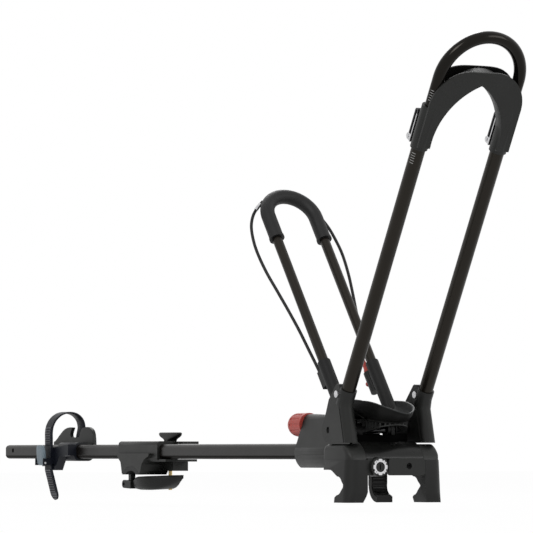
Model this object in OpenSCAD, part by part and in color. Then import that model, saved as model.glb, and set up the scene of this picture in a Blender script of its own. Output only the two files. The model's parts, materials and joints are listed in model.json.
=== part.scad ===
// Roof mounted bike carrier with two wheel hoops, a sliding rear bar clamp and a strapped rear wheel saddle.
// Millimetres. Origin on the axis of the front roof bar, +X to the front of the vehicle, +Z up.

/* [Roof bars] */
// Radius of the round front roof bar
bar_r = 14.3; // [12:0.1:16]
// Distance from the front bar to the rear bar
bar_span = 820; // [700:5:900]

/* [Tray tube] */
// Width of the tray tube
tube_w = 30; // [28:0.5:33]
// Height of the tray tube
tube_h = 25; // [23:0.5:27]
// Outer corner radius of the tray tube
tube_corner = 7; // [4:0.5:9]
// Wall of the tray tube
tube_wall = 2; // [1.5:0.1:3]
// Length of the tray tube
tube_len = 1336; // [1280:2:1440]
// Height of the tube axis above the bar axis
tube_z = 53; // [52.5:0.1:53.5]
// Radius of the tether hole near the rear end
tether_r = 4; // [2.5:0.5:5]

/* [Cross shaft] */
// Radius of the shaft both hoops turn on
shaft_r = 5; // [4:0.1:5.5]
// Height of the shaft above the bar axis
pivot_up = 86; // [85:0.5:87]
// Distance of the shaft behind the bar axis
pivot_back = 34.5; // [33.5:0.5:35.5]

/* [Wheel hoop] */
// Outer diameter of the two hoop legs
leg_od = 22.2; // [21.5:0.1:23]
// Wall of the hoop legs
leg_wall = 1.4; // [1.2:0.1:1.45]
// Outer diameter of the telescoping arch
arch_od = 19; // [17.5:0.1:19.2]
// Wall of the arch tube
arch_wall = 1.5; // [1:0.1:2]
// Straight tail of the arch below its bend
arch_tail = 180; // [150:2:220]
// Height of the arch bend centre along the leg
arch_reach = 610; // [600:1:625]

/* [Bridge cover] */
// Length of the sleeves on the legs
sleeve_len = 70; // [60:1:74]
// Wall of the sleeves
sleeve_wall = 2.5; // [2:0.1:3]
// Depth of the cover web
web_depth = 19; // [15:0.5:20]
// Thickness of the front sheet of the cover
sheet_t = 3.6; // [3:0.1:5]

/* [Latches] */
// Width of a latch lever
latch_w = 16; // [14:0.5:18]
// Length of a latch lever
latch_len = 42; // [36:1:44]
// Radius of the latch pins
latch_pin_r = 2.5; // [2:0.1:3]

/* [Wheel cradle] */
// Outer diameter of the small hoop tube
small_od = 16; // [15.5:0.1:16.5]
// Wall of the small hoop tube
small_wall = 1.5; // [1:0.1:2]
// Height of the small hoop bend centre along its leg
small_reach = 433; // [420:1:440]
// Outer diameter of the rubber grip
grip_od = 23.4; // [22:0.1:24.5]
// Straight length of the grip below the bend
grip_leg = 47; // [40:1:56]
// Length of the sockets that hold the small hoop
socket_len = 134; // [132:1:140]
// Wall of the wheel dish
dish_wall = 4.3; // [3:0.1:5]
// Diameter of the lock cable
cable_d = 5; // [4:0.1:6]

/* [Tension drive] */
// Radius of the tension knob
knob_r = 19; // [17:0.5:21]
// Radius of the lead screw
lead_r = 5; // [4:0.1:5.5]
// Distance from the shaft to the crank pins
crank_len = 22.5; // [21.5:0.1:22.5]
// Radius of the crank pins
crank_pin_r = 2.5; // [2:0.1:3]

/* [Front clamp] */
// Width of the sliding jaw
jaw_w = 28; // [24:1:32]
// Radius of the clamp screw
clamp_screw_r = 4; // [3:0.1:4.5]
// Radius of the key hole in the front plate
key_hole_r = 5; // [4:0.1:6]
// Radius of the lock core
lock_core_r = 7.5; // [6:0.1:8]

/* [Rear clamp] */
// Length of the sliding clamp body
clamp_len = 147; // [140:1:154]
// Thickness of the rubber saddle pad
pad_t = 8; // [6:0.5:9]
// Radius of the clamp bolt
clamp_bolt_r = 3.2; // [2.8:0.1:3.5]
// Length of the wing knob
wing_len = 71; // [60:1:78]

/* [Rear wheel saddle] */
// Width of the strap
strap_w = 28; // [24:0.5:28.5]
// Thickness of the strap
strap_t = 3; // [2.5:0.1:3.2]
// Length of the saddle sleeve
saddle_len = 71; // [64:1:78]
// Height of the strap loop crown above the bar axis
strap_crown = 125; // [118:1:132]

/* [Hidden] */
$fn = 64;
// Clearance of fixed fits, of running fits and of sliding fits
fit = 0.1;
run_fit = 0.05;
slide_fit = 0.3;
// Lean of the wheel hoop forward and of the small hoop rearward
hoop_lean = 30.4;
small_lean = 37.1;
// The stack of pieces along the shaft, from the tube outward
drawbar_t = 3.5;
crank_t = 4.5;
lug_t = 6.5;
drawbar_in = tube_w/2 + 1.2;
drawbar_out = drawbar_in + drawbar_t;
crank_in = drawbar_out + 0.8;
crank_out = crank_in + crank_t;
lug_in = crank_out + 0.9;
lug_out = lug_in + lug_t;
socket_r = small_od/2 + 2.5;
socket_in = lug_out + 0.9;
small_half = socket_in + socket_r;
socket_out = small_half + socket_r;
bracket_half = leg_od/2 + 1.4;
bracket_in = socket_out + 2.8;
hoop_half = bracket_in + bracket_half;
bracket_out = hoop_half + bracket_half;
foot_in = bracket_in - 5.5;
foot_out = hoop_half + 14;
base_half = foot_in - 0.3;
// Heights of the front unit
bracket_hub_r = 19.5;
bracket_floor = pivot_up - bracket_hub_r;
cap_top = bracket_floor - 2;
pin_z = pivot_up - crank_len;
crank_eye = 6;
deck_z = pin_z - crank_eye - 1.5;
split_z = 40;
tube_floor = tube_z - tube_h/2;
ceiling_z = tube_floor - 4.5;
screw_y = 22.5;
screw_z = ceiling_z - 5.5;
base_floor = bar_r + 5.7;
base_front = 30;
base_rear = -66;
foot_back = 52;
foot_front = 36;
foot_floor = -26;
plate_front = 36;
plate_top = 42;
boss_y = -33.5;
boss_z = 29;
boss_r = 15;
boss_front = 42;
hood_rear = -12;
hood_x = -5;
hood_r = 38.5;
tube_front = hood_rear - 2;
tube_rear = tube_front - tube_len;
// Rear housing
lead_z = pivot_up + 10;
belly_r = tube_w/2 + 13.5;
belly_z = tube_z - 3;
crown_r = 12;
crown_z = lead_z + 5;
house_floor = tube_z - 26;
house_split = 47;
house_wall = 3;
house_rear = -237;
house_front = base_rear - 0.4;
house_bolts = [-206, -160];
nut_front = -140;
// Hoop frame: distances along the leg
leg_shift = 5;
leg_foot = 30;
sleeve_r = leg_od/2 + sleeve_wall;
sleeve_top = arch_reach - 47;
sleeve_foot = sleeve_top - sleeve_len;
leg_top = sleeve_top - 4;
arch_drop = 36;
bolt_along = 63.6;
bolt_shift = -1.3;
bracket_bolt_r = 3;
// Small hoop frame
small_shift = 1.6;
socket_foot = 36;
floor_z = pivot_up + 13;
dish_floor = floor_z + 4;
dish_out = socket_in - 0.35;
dish_in = dish_out - dish_wall;
dish_back = -57;
cable_off = small_shift - 15;
barrel_r = 7;
barrel_off = small_shift - socket_r - barrel_r - 0.3;
barrel_y = small_half - 2;
// Lock cable routes in the small hoop frame: rearward shift, side, along the leg
route_near = [[-3, -41, 469], [-7, -52, 459], [-11, -63, 445], [-13, -72, 425], [-14, -77, 400], [-14, -79, 370],
    [-14, -76, 330], [-14, -69, 290], [-14, -62, 250], [-14, -56, 210], [-15, -51, 170], [-16, -47, 140], [-16, -46, 128.4]];
route_far = [[-3, 41, 469], [-7, 52, 459], [-11, 63, 445], [-13, 72, 425], [-14, 77, 400], [-14, 79, 370],
    [-14, 76, 330], [-14, 70, 290], [-14, 63, 250], [-14, 56, 210], [-15, 49, 178], [-16, 44, 160], [-16.5, 42.7, 152.4]];
function stretched(route) = let (top = route[0][2], foot = route[len(route) - 1][2])
    [for (p = route) [p[0], p[1], p[2] + (small_reach - 433)*(p[2] - foot)/(top - foot)]];
near_line = stretched(route_near);
far_line = stretched(route_far);
// Rear clamp, measured from the rear bar
clamp_x = -bar_span;
clamp_back = -60;
clamp_bolt_x = 38;
clamp_bolt_y = 31;
jaw_pin_x = -47.5;
jaw_pin_z = -3;
jaw_pin_r = 3;
pad_r = 42.6;
pad_z = -14;
barrel_nut_r = 5;
barrel_nut_z = 4;
// Rear wheel saddle
saddle_x = -1092.5;
strap_x = -1131;
wing_in = tube_w/2 + 3.5;
wing_out = wing_in + 6;
strap_far = wing_out + 0.2;
strap_near = -32.2;
strap_mid = (strap_far + strap_near)/2;
strap_r = (strap_far - strap_near)/2;
strap_bend = strap_crown - strap_t - strap_r;
buckle_floor = 27;
buckle_top = 62;
lever_pin_y = -49;
lever_pin_z = 33;
COAT = [0.09, 0.08, 0.075];
MOULD = [0.16, 0.17, 0.17];
DARK = [0.07, 0.07, 0.08];
STEEL = [0.7, 0.7, 0.72];
RED = [0.75, 0.2, 0.16];
BRASS = [0.75, 0.6, 0.3];
NAVY = [0.1, 0.11, 0.15];
BUCKLE = [0.36, 0.42, 0.5];

// Helpers

module round_rect(w, h, r) {
    square([w - 2*r, h], center = true);
    square([w, h - 2*r], center = true);
    for (sx = [-1, 1], sy = [-1, 1])
        translate([sx*(w/2 - r), sy*(h/2 - r)]) circle(r);
}

// A profile drawn in X and Z, thick along Y from y0 to y1
module slab(y0, y1) {
    translate([0, y1, 0]) rotate([90, 0, 0]) linear_extrude(y1 - y0) children();
}

// A profile drawn in Y and Z, run along X from x0 to x1
module run_x(x0, x1) {
    translate([x0, 0, 0]) rotate([90, 0, 90]) linear_extrude(x1 - x0) children();
}

module rod_x(x0, x1, r) {
    translate([x0, 0, 0]) rotate([0, 90, 0]) cylinder(h = x1 - x0, r = r);
}

module rod_y(y0, y1, r) {
    translate([0, y1, 0]) rotate([90, 0, 0]) cylinder(h = y1 - y0, r = r);
}

// A rod of radius r between two points of the X-Z plane
module rod_xz(x0, z0, x1, z1, r) {
    translate([x0, 0, z0]) rotate([0, atan2(x1 - x0, z1 - z0), 0])
        cylinder(h = norm([x1 - x0, z1 - z0]), r = r);
}

module both_sides() {
    children();
    mirror([0, 1, 0]) children();
}

module at_pivot() {
    translate([-pivot_back, 0, pivot_up]) children();
}

module hoop_frame() {
    at_pivot() rotate([0, hoop_lean, 0]) children();
}

module small_frame() {
    at_pivot() rotate([0, -small_lean, 0]) children();
}

// A solid hairpin: two straight legs and a half-round bend in the Y-Z plane
module hairpin(half, z0, zc, r) {
    for (s = [-1, 1])
        translate([0, s*half, z0]) cylinder(h = zc - z0, r = r);
    translate([0, 0, zc]) rotate([90, 0, 90]) rotate_extrude(angle = 180) translate([half, 0]) circle(r);
}

// A round cord swept along hand-chosen points, smoothed between them
function smooth(p, i, t) = let (n = len(p), a = p[max(i - 1, 0)], b = p[i], c = p[min(i + 1, n - 1)],
    d = p[min(i + 2, n - 1)])
    0.5*(2*b + (c - a)*t + (2*a - 5*b + 4*c - d)*t*t + (3*b - a - 3*c + d)*t*t*t);
function path(p, steps) = [for (i = [0 : len(p) - 2], k = [0 : steps - 1]) smooth(p, i, k/steps), p[len(p) - 1]];
function unit(v) = v/norm(v);
function heading(q, i) = unit(q[min(i + 1, len(q) - 1)] - q[max(i - 1, 0)]);

module cord(route, d, sides = 8, steps = 3) {
    q = path(route, steps);
    n = len(q);
    points = [for (i = [0 : n - 1]) let (t = heading(q, i), u = unit(cross(t, [1, 0, 0])), v = cross(t, u))
        for (k = [0 : sides - 1]) q[i] + d/2*(u*cos(360*k/sides) + v*sin(360*k/sides))];
    walls = [for (i = [0 : n - 2], k = [0 : sides - 1])
        [i*sides + k, i*sides + (k + 1) % sides, (i + 1)*sides + (k + 1) % sides, (i + 1)*sides + k]];
    ends = [[for (k = [sides - 1 : -1 : 0]) k], [for (k = [0 : sides - 1]) (n - 1)*sides + k]];
    polyhedron(points = points, faces = concat(walls, ends));
}

module tube_outline(grow) {
    translate([0, tube_z]) round_rect(tube_w + 2*grow, tube_h + 2*grow, tube_corner + grow);
}

// Tray

module tray_tube() {
    color(COAT) difference() {
        run_x(tube_rear, tube_front) tube_outline(0);
        run_x(tube_rear - 1, tube_front + 1) tube_outline(-tube_wall);
        translate([tube_rear + 28, 0, tube_z + 2.5]) rod_y(-tube_w, tube_w, tether_r);
        for (x = house_bolts)
            translate([x, 0, tube_floor - 1]) cylinder(h = tube_wall + 2, r = 3 + fit);
    }
}

module tube_end_plug() {
    color(DARK) {
        run_x(tube_rear - 4, tube_rear) tube_outline(-0.5);
        run_x(tube_rear, tube_rear + 18) tube_outline(-tube_wall - fit);
    }
}

// Front unit

module base_casting() {
    color(DARK) difference() {
        union() {
            translate([base_rear, -base_half, base_floor])
                cube([base_front - base_rear, 2*base_half, deck_z - base_floor]);
            both_sides() at_pivot() slab(lug_in, lug_out) {
                circle(11);
                translate([-11, deck_z - pivot_up - 2]) square([22, pivot_up - deck_z + 2]);
            }
        }
        translate([base_rear + 3, -base_half + 10, base_floor - 1])
            cube([base_front - base_rear, 2*base_half - 20, ceiling_z - base_floor + 1]);
        run_x(base_rear - 1, tube_front + 1) tube_outline(fit);
        translate([base_rear - 1, -tube_w/2 - fit, tube_z])
            cube([tube_front + 2 - base_rear, tube_w + 2*fit, 40]);
        at_pivot() rod_y(-100, 100, shaft_r + fit);
        translate([18, boss_y - boss_r - 60, base_floor - 5]) cube([40, 60 + 2*boss_r + 1, boss_z + boss_r + 5.4 - base_floor]);
        slab(-100, 100) difference() {
            translate([hood_x, plate_top - 8]) square([60, 60]);
            translate([hood_x, cap_top - 34.5]) circle(hood_r - 3);
        }
    }
}

module hood_side() {
    difference() {
        intersection() {
            translate([hood_x, cap_top - 34.5]) circle(hood_r);
            translate([hood_rear, plate_top + 0.3]) square([60, 60]);
        }
        intersection() {
            translate([-100, -100]) square([100 + base_front, 100 + deck_z]);
            translate([hood_x, cap_top - 34.5]) circle(hood_r - 3 + fit);
        }
    }
}

module front_hood() {
    color(MOULD) difference() {
        slab(-base_half, base_half) hood_side();
        translate([0, boss_y, boss_z]) rod_x(0, 60, boss_r + 0.3);
    }
}

module front_plate() {
    w = base_half + 14;
    h = plate_top - 16;
    color(MOULD) difference() {
        translate([0, base_half - w/2, 16 + h/2]) run_x(base_front, plate_front) round_rect(w, h, 5);
        translate([0, screw_y, screw_z]) rod_x(0, 60, key_hole_r);
    }
}

module foot_side() {
    k = bar_r/14.3;
    difference() {
        union() {
            polygon([[-foot_back, split_z], [-foot_back, 34.5], [-42, 24.5], [-22*k, 24.5*k], [11.5*k, 8*k], [21*k, 0],
                [11.5*k, -8.3*k], [-7*k, -18*k], [-7.4*k, foot_floor], [foot_front - 5, foot_floor],
                [foot_front, -12], [foot_front, split_z]]);
            translate([-42, 34.5]) circle(10);
        }
        circle(bar_r);
    }
}

module front_plan(grow) {
    l = foot_back + foot_front;
    w = foot_out - foot_in + grow;
    translate([(foot_front - foot_back)/2, foot_in + w/2]) round_rect(l, w, 8);
    translate([-foot_back, foot_in]) square([l, 12]);
}

module foot() {
    intersection() {
        slab(foot_in - 1, foot_out + 10) foot_side();
        run_x(-80, 60) polygon([[foot_in, split_z], [foot_out, split_z], [foot_out + 3.5, foot_floor],
            [foot_in + 5.5, foot_floor], [foot_in, -12]]);
        translate([0, 0, foot_floor - 1]) linear_extrude(90) front_plan(4);
    }
}

module near_foot() {
    color(DARK) mirror([0, 1, 0]) foot();
}

module far_foot() {
    color(DARK) foot();
}

module cap_side() {
    translate([-foot_back, split_z]) square([foot_back + 22, 12.5]);
    translate([-foot_back + 12, split_z]) square([foot_back + 10, cap_top - split_z]);
    translate([-foot_back + 12, cap_top - 12]) circle(12);
    translate([foot_front - 14, split_z]) square([14, cap_top - 14 - split_z]);
    translate([foot_front - 14, cap_top - 14]) circle(14);
}

module cap() {
    intersection() {
        slab(foot_in, foot_out) intersection() {
            cap_side();
            translate([-100, split_z]) square([200, 60]);
        }
        linear_extrude(100) front_plan(-1);
    }
}

module near_cap() {
    color(MOULD) mirror([0, 1, 0]) cap();
}

module far_cap() {
    color(MOULD) cap();
}

// Egg-shaped section of the rear housing
module egg(inset) {
    a = asin((belly_r - crown_r)/(crown_z - belly_z));
    ro = belly_r - inset;
    rc = crown_r - inset;
    translate([0, crown_z]) circle(rc);
    difference() {
        translate([0, belly_z]) circle(ro);
        translate([-60, house_floor + inset - 100]) square([120, 100]);
    }
    polygon([[rc*cos(a), crown_z + rc*sin(a)], [-rc*cos(a), crown_z + rc*sin(a)],
        [-ro*cos(a), belly_z + ro*sin(a)], [ro*cos(a), belly_z + ro*sin(a)]]);
}

module house_side(inset, front) {
    polygon([[house_rear + inset, 0], [house_rear + inset, crown_z + crown_r + 1 - inset],
        [-165, crown_z + 9.5 - inset], [-128 - inset*0.7, crown_z + 8 - inset], [-104 - inset*0.7, crown_z - 24 - inset],
        [front, crown_z - 27 - inset], [front, 0]]);
}

module house_shell() {
    difference() {
        intersection() {
            run_x(house_rear, house_front) egg(0);
            slab(-60, 60) house_side(0, house_front);
        }
        intersection() {
            run_x(house_rear + house_wall, house_front + 1) egg(house_wall);
            slab(-60, 60) house_side(house_wall, house_front + 1);
        }
        run_x(house_rear - 1, house_rear + 10) tube_outline(fit);
        translate([0, 0, lead_z]) rod_x(house_rear - 1, house_rear + 10, lead_r + run_fit);
    }
}

module rear_housing() {
    color(MOULD) intersection() {
        house_shell();
        translate([-300, -60, house_split]) cube([300, 120, 100]);
    }
}

module housing_belly() {
    color(MOULD) difference() {
        union() {
            intersection() {
                house_shell();
                translate([-300, -60, 0]) cube([300, 120, house_split]);
            }
            for (x = house_bolts)
                translate([x, 0, house_floor]) cylinder(h = tube_floor - fit - house_floor, r = 9);
        }
        for (x = house_bolts) {
            translate([x, 0, house_floor - 1]) cylinder(h = 40, r = 3 + fit);
            translate([x, 0, house_floor - 1]) cylinder(h = 6, r = 5.5 + fit);
        }
    }
}

module tube_bolts() {
    color(STEEL) for (x = house_bolts)
        translate([x, 0, house_floor + 0.5]) {
            cylinder(h = tube_floor + tube_wall - house_floor, r = 3);
            cylinder(h = 4.4, r = 5.5);
        }
}

module cross_shaft() {
    color(STEEL) at_pivot() rod_y(-bracket_out + 2.5, bracket_out - 2.5, shaft_r);
}

module lock_housing() {
    color(MOULD) difference() {
        union() {
            translate([0, boss_y, boss_z]) rod_x(20, boss_front, boss_r);
            translate([20, -foot_in, 16]) cube([16, foot_in + boss_y, 26]);
        }
        translate([0, boss_y, boss_z]) rod_x(0, 60, 10);
        translate([0, boss_y, boss_z]) rod_x(boss_front - 3, 60, 12.6);
    }
}

module lock_bezel() {
    color(STEEL) difference() {
        translate([0, boss_y, boss_z]) rod_x(boss_front - 2.9, boss_front + 1.5, 12.5);
        translate([0, boss_y, boss_z]) rod_x(0, 60, lock_core_r + 0.4);
        for (a = [45 : 90 : 315])
            translate([boss_front, boss_y, boss_z]) rotate([a, 0, 0]) translate([0, -1.2, 9.5]) cube([4, 2.4, 6]);
    }
}

module lock_core() {
    color(DARK) difference() {
        translate([0, boss_y, boss_z]) {
            rod_x(22, boss_front + 1, lock_core_r);
            rod_x(22, boss_front - 4, 9.6);
        }
        translate([boss_front - 3, boss_y - 1, boss_z - 4]) cube([10, 2, 8]);
    }
}

// Front bar clamp

module clamp_screw() {
    color(STEEL) difference() {
        translate([0, screw_y, screw_z]) {
            rod_x(base_rear + 5, base_front - 7, clamp_screw_r);
            rod_x(base_front - 8.5, base_front - 0.4, clamp_screw_r + 1.2);
        }
        translate([base_front - 5, screw_y, screw_z]) rotate([0, 90, 0]) cylinder(h = 10, r = clamp_screw_r*0.85, $fn = 6);
    }
}

module front_jaw() {
    h = jaw_w/2;
    color(DARK) difference() {
        union() {
            translate([-42, -h, base_floor + 3]) cube([25.5, h + screw_y + 9, ceiling_z - 0.6 - base_floor - 3]);
            slab(-h, h) {
                translate([-27, 0]) square([10.5, base_floor + 6]);
                intersection() {
                    circle(bar_r + 11.7);
                    polygon([[0, 0], [-40, 4], [-40, -40], [-1.5, -40]]);
                }
            }
        }
        slab(-h - 1, h + 1) circle(bar_r + 2.7);
        translate([0, screw_y, screw_z]) rod_x(-80, 40, clamp_screw_r + 0.2);
    }
}

module jaw_pad() {
    h = jaw_w/2 - 1;
    color(NAVY) difference() {
        slab(-h, h) intersection() {
            difference() {
                circle(bar_r + 2.6);
                circle(bar_r + 1.2);
            }
            polygon([[0, 0], [-40, 4], [-40, -40], [-2, -40]]);
        }
        for (a = [-165 : 10 : -100])
            rotate([0, -a, 0]) translate([bar_r + 0.8, -h + 2, -0.7]) cube([1.1, 2*h - 4, 1.4]);
    }
}

// Wheel hoop

module bracket_side() {
    x = -pivot_back;
    translate([x, pivot_up]) circle(bracket_hub_r);
    translate([x + 29, pivot_up + 64]) circle(7.5);
    polygon([[x, pivot_up - bracket_hub_r], [x + 47.5, pivot_up - bracket_hub_r], [x + 33.5, pivot_up + 35],
        [x + 40.5, pivot_up + 62], [x + 36.5, pivot_up + 64], [x + 23.5, pivot_up + 69], [x + 2, pivot_up + 47],
        [x - 19.4, pivot_up - 2]]);
}

module bracket() {
    x = -pivot_back;
    difference() {
        union() {
            slab(bracket_in, bracket_out) bracket_side();
            intersection() {
                translate([0, hoop_half, 0]) {
                    rod_xz(x + 50, pivot_up - 29, x + 33.5, pivot_up + 35, bracket_half - 0.7);
                    rod_xz(x + 33.5, pivot_up + 33, x + 41, pivot_up + 64, bracket_half - 0.5);
                }
                translate([-100, 0, bracket_floor]) cube([200, 200, pivot_up - bracket_floor + 61]);
            }
            hoop_frame() translate([leg_shift, hoop_half, 48]) cylinder(h = 28, r = bracket_half + 0.9);
        }
        at_pivot() rod_y(0, 200, shaft_r + run_fit);
        hoop_frame() translate([leg_shift, hoop_half, leg_foot - 0.3]) cylinder(h = 100, r = leg_od/2 + fit);
        hoop_frame() translate([bolt_shift, 0, bolt_along]) rod_y(0, 200, bracket_bolt_r + fit);
    }
}

module near_bracket() {
    color(MOULD) mirror([0, 1, 0]) bracket();
}

module far_bracket() {
    color(MOULD) bracket();
}

module leg() {
    hoop_frame() difference() {
        translate([leg_shift, hoop_half, leg_foot]) cylinder(h = leg_top - leg_foot, r = leg_od/2);
        translate([leg_shift, hoop_half, leg_foot - 1]) cylinder(h = leg_top, r = leg_od/2 - leg_wall);
        translate([bolt_shift, 0, bolt_along]) rod_y(0, 200, bracket_bolt_r + fit);
    }
}

module near_leg() {
    color(COAT) mirror([0, 1, 0]) leg();
}

module far_leg() {
    color(COAT) leg();
}

module bracket_bolts() {
    e = bracket_half + 0.9;
    color(STEEL) both_sides() hoop_frame() translate([bolt_shift, hoop_half, bolt_along]) {
        rod_y(-e - 1, e + 1, bracket_bolt_r);
        rod_y(e + 0.1, e + 3, 5.5);
        rod_y(-e - 1.3, -e - 0.1, 5.5);
    }
}

// Outline of the cover seen square to the hoop
module cover_outline() {
    half = hoop_half + leg_od/2 - 0.1;
    top = arch_reach + 17;
    foot = sleeve_foot + 5;
    translate([-half, foot]) square([2*half, top - 60 - foot]);
    translate([-half + 60, foot]) square([2*half - 120, top - foot]);
    for (s = [-1, 1])
        translate([s*(half - 60), top - 60]) circle(60);
}

// Pointed wheel opening under the cover
module cover_opening() {
    k = hoop_half - 11;
    intersection() {
        translate([-48.5, arch_reach - 100.6]) circle(k + 48.7);
        translate([48.5, arch_reach - 100.6]) circle(k + 48.7);
    }
    translate([-k, sleeve_foot - 100]) square([2*k, 108]);
}

module bridge_cover() {
    front = arch_od/2 + 0.3 + sheet_t;
    color(MOULD) hoop_frame() translate([leg_shift, 0, 0]) difference() {
        union() {
            difference() {
                union() {
                    run_x(arch_od/2 + 0.3, front) cover_outline();
                    run_x(front - web_depth, front) intersection() {
                        cover_outline();
                        union() {
                            translate([0, arch_reach - arch_drop - 7]) circle(hoop_half - arch_od/2 - 0.4);
                            translate([-hoop_half, 0]) square([2*hoop_half, sleeve_top - 2]);
                        }
                    }
                }
                run_x(-50, 50) cover_opening();
            }
            for (s = [-1, 1])
                translate([0, s*hoop_half, sleeve_foot]) cylinder(h = sleeve_len, r = sleeve_r);
        }
        for (s = [-1, 1]) {
            translate([0, s*hoop_half, sleeve_foot - 50]) cylinder(h = 50 + leg_top + 0.3 - sleeve_foot, r = leg_od/2 + fit);
            translate([0, s*hoop_half, sleeve_foot]) cylinder(h = 200, r = arch_od/2 + slide_fit);
        }
        hairpin(hoop_half, arch_reach - 60, arch_reach - arch_drop, arch_od/2 + 0.3);
    }
}

module latch_place() {
    both_sides() hoop_frame() translate([leg_shift, hoop_half, 0]) children();
}

module latch_bases() {
    back = -sleeve_r - 0.1;
    pin = back - 8;
    color(STEEL) latch_place() difference() {
        union() {
            translate([back - 2, -latch_w/2 - 2.5, sleeve_foot + 3]) cube([2, latch_w + 5, 46]);
            for (s = [-1, 1])
                slab(s*(latch_w/2 + 1.5) - 1, s*(latch_w/2 + 1.5) + 1) {
                    translate([pin, sleeve_foot + 9]) circle(5);
                    translate([pin, sleeve_foot + 4]) square([back - pin, 10]);
                }
        }
        translate([pin, 0, sleeve_foot + 9]) rod_y(-20, 20, latch_pin_r + fit);
    }
}

module latch_pins() {
    pin = -sleeve_r - 8.1;
    color(STEEL) latch_place() translate([pin, 0, sleeve_foot + 9])
        rod_y(-latch_w/2 - 3.5, latch_w/2 + 3.5, latch_pin_r);
}

module latch() {
    pin = -sleeve_r - 8.1;
    z = sleeve_foot + 9;
    color(STEEL) hoop_frame() translate([leg_shift, hoop_half, 0]) difference() {
        slab(-latch_w/2, latch_w/2) {
            translate([pin, z]) circle(latch_pin_r + 2);
            translate([pin - latch_pin_r - 2, z]) square([2.2, latch_len]);
            translate([pin - latch_pin_r + 2.3, z + latch_len]) difference() {
                intersection() {
                    circle(4.3);
                    translate([-10, 0]) square([20, 20]);
                }
                circle(2.1);
            }
            translate([pin - latch_pin_r + 4.4, z + latch_len - 5]) square([2.2, 5]);
        }
        translate([pin, 0, z]) rod_y(-20, 20, latch_pin_r + run_fit);
    }
}

module near_latch() {
    mirror([0, 1, 0]) latch();
}

module far_latch() {
    latch();
}

module arch_tube() {
    foot = arch_reach - arch_tail;
    color(COAT) hoop_frame() translate([leg_shift, 0, 0]) difference() {
        hairpin(hoop_half, foot, arch_reach, arch_od/2);
        hairpin(hoop_half, foot - 1, arch_reach, arch_od/2 - arch_wall);
    }
}

module arch_plugs() {
    foot = arch_reach - arch_tail;
    color(DARK) both_sides() hoop_frame() translate([leg_shift, hoop_half, 0]) {
        translate([0, 0, foot - 3]) cylinder(h = 3, r = arch_od/2);
        translate([0, 0, foot]) cylinder(h = 10, r = arch_od/2 - arch_wall - fit);
    }
}

// Wheel cradle rocker

module rocker_frame() {
    color(DARK) difference() {
        union() {
            both_sides() {
                at_pivot() rod_y(socket_in, socket_out, 13);
                small_frame() translate([small_shift, small_half, 0]) cylinder(h = socket_len, r = socket_r);
                small_frame() slab(small_half - 6, small_half + 6)
                    polygon([[-12.9, 0], [12.9, 0], [small_shift + socket_r - 2, 70], [small_shift - socket_r + 2, 70]]);
                at_pivot() slab(crank_in, crank_out) {
                    circle(10);
                    translate([-6, -crank_len]) square([12, crank_len]);
                    translate([0, -crank_len]) circle(crank_eye);
                    translate([-8, 0]) square([16, 15]);
                }
                at_pivot() translate([0, 0, -crank_len]) rod_y(drawbar_in, crank_in + 1, crank_pin_r);
            }
            translate([-pivot_back - 18, -small_half + 4, floor_z]) cube([35, 2*small_half - 8, 3.8]);
        }
        at_pivot() rod_y(-100, 100, shaft_r + run_fit);
        both_sides() small_frame() translate([small_shift, small_half, socket_foot])
            cylinder(h = 200, r = small_od/2 + fit);
    }
}

module dish_plan(r) {
    translate([dish_back, 0]) circle(r);
    translate([dish_back, -r]) square([-dish_back, 2*r]);
}

module wheel_dish() {
    z = dish_floor;
    color(MOULD) difference() {
        union() {
            intersection() {
                translate([0, 0, z]) linear_extrude(60) difference() {
                    dish_plan(dish_out);
                    dish_plan(dish_in);
                }
                slab(-60, 60) polygon([[-95, z - 1], [-95, z + 34], [-91, z + 32.5], [-82, z + 26], [-70, z + 20],
                    [-2, z + 10], [6, z + 8], [6, z - 1]]);
            }
            translate([0, 0, z]) linear_extrude(4) dish_plan(dish_out);
            both_sides() translate([-14, small_half - 1.6, z + 17]) rotate([38, 12, 0])
                linear_extrude(6) round_rect(50, 2*socket_r + 5, 12.5);
            for (y = [-25 : 10 : 25])
                translate([-75, y - 1.5, z - 14]) cube([22, 3, 14.5]);
            translate([-60, -crank_out - 0.2, z - 26]) cube([2.5, 2*crank_out + 0.4, 26.5]);
            translate([-75, -28, z - 16]) cube([20, 56, 2.5]);
        }
        both_sides() small_frame() translate([small_shift, small_half, -20]) cylinder(h = 300, r = socket_r + 0.3);
    }
}

module small_hoop_tube() {
    color(COAT) small_frame() translate([small_shift, 0, 0]) difference() {
        hairpin(small_half, socket_foot + 0.3, small_reach, small_od/2);
        hairpin(small_half, socket_foot - 1, small_reach, small_od/2 - small_wall);
    }
}

module hoop_grip() {
    foot = small_reach - grip_leg;
    color(DARK) small_frame() difference() {
        translate([small_shift, 0, 0]) difference() {
            union() {
                hairpin(small_half, foot, small_reach, grip_od/2);
                for (s = [-1, 1])
                    translate([0, s*small_half, foot]) cylinder(h = 4, r = grip_od/2 + 0.8);
            }
            hairpin(small_half, foot - 1, small_reach, small_od/2 + fit);
        }
        cable_seat(near_line);
        cable_seat(far_line);
    }
}

// Bored seat for the first stretch of a cable
module cable_seat(line) {
    a = line[0];
    d = line[1] - a;
    translate(a) rotate([0, acos(d[2]/norm(d)), atan2(d[1], d[0])])
        translate([0, 0, -0.1]) cylinder(h = 9, r = cable_d/2 + 0.25);
}

module cable_near() {
    color(DARK) small_frame() cord(near_line, cable_d);
}

module cable_far() {
    color(DARK) small_frame() cord(far_line, cable_d);
}

module cable_clip() {
    r = socket_r + 0.3;
    color(DARK) small_frame() difference() {
        translate([small_shift - socket_r - 11, -small_half - 5, 96]) cube([15, 10, 32]);
        translate([small_shift, -small_half, 0]) cylinder(h = 300, r = r);
    }
}

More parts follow.
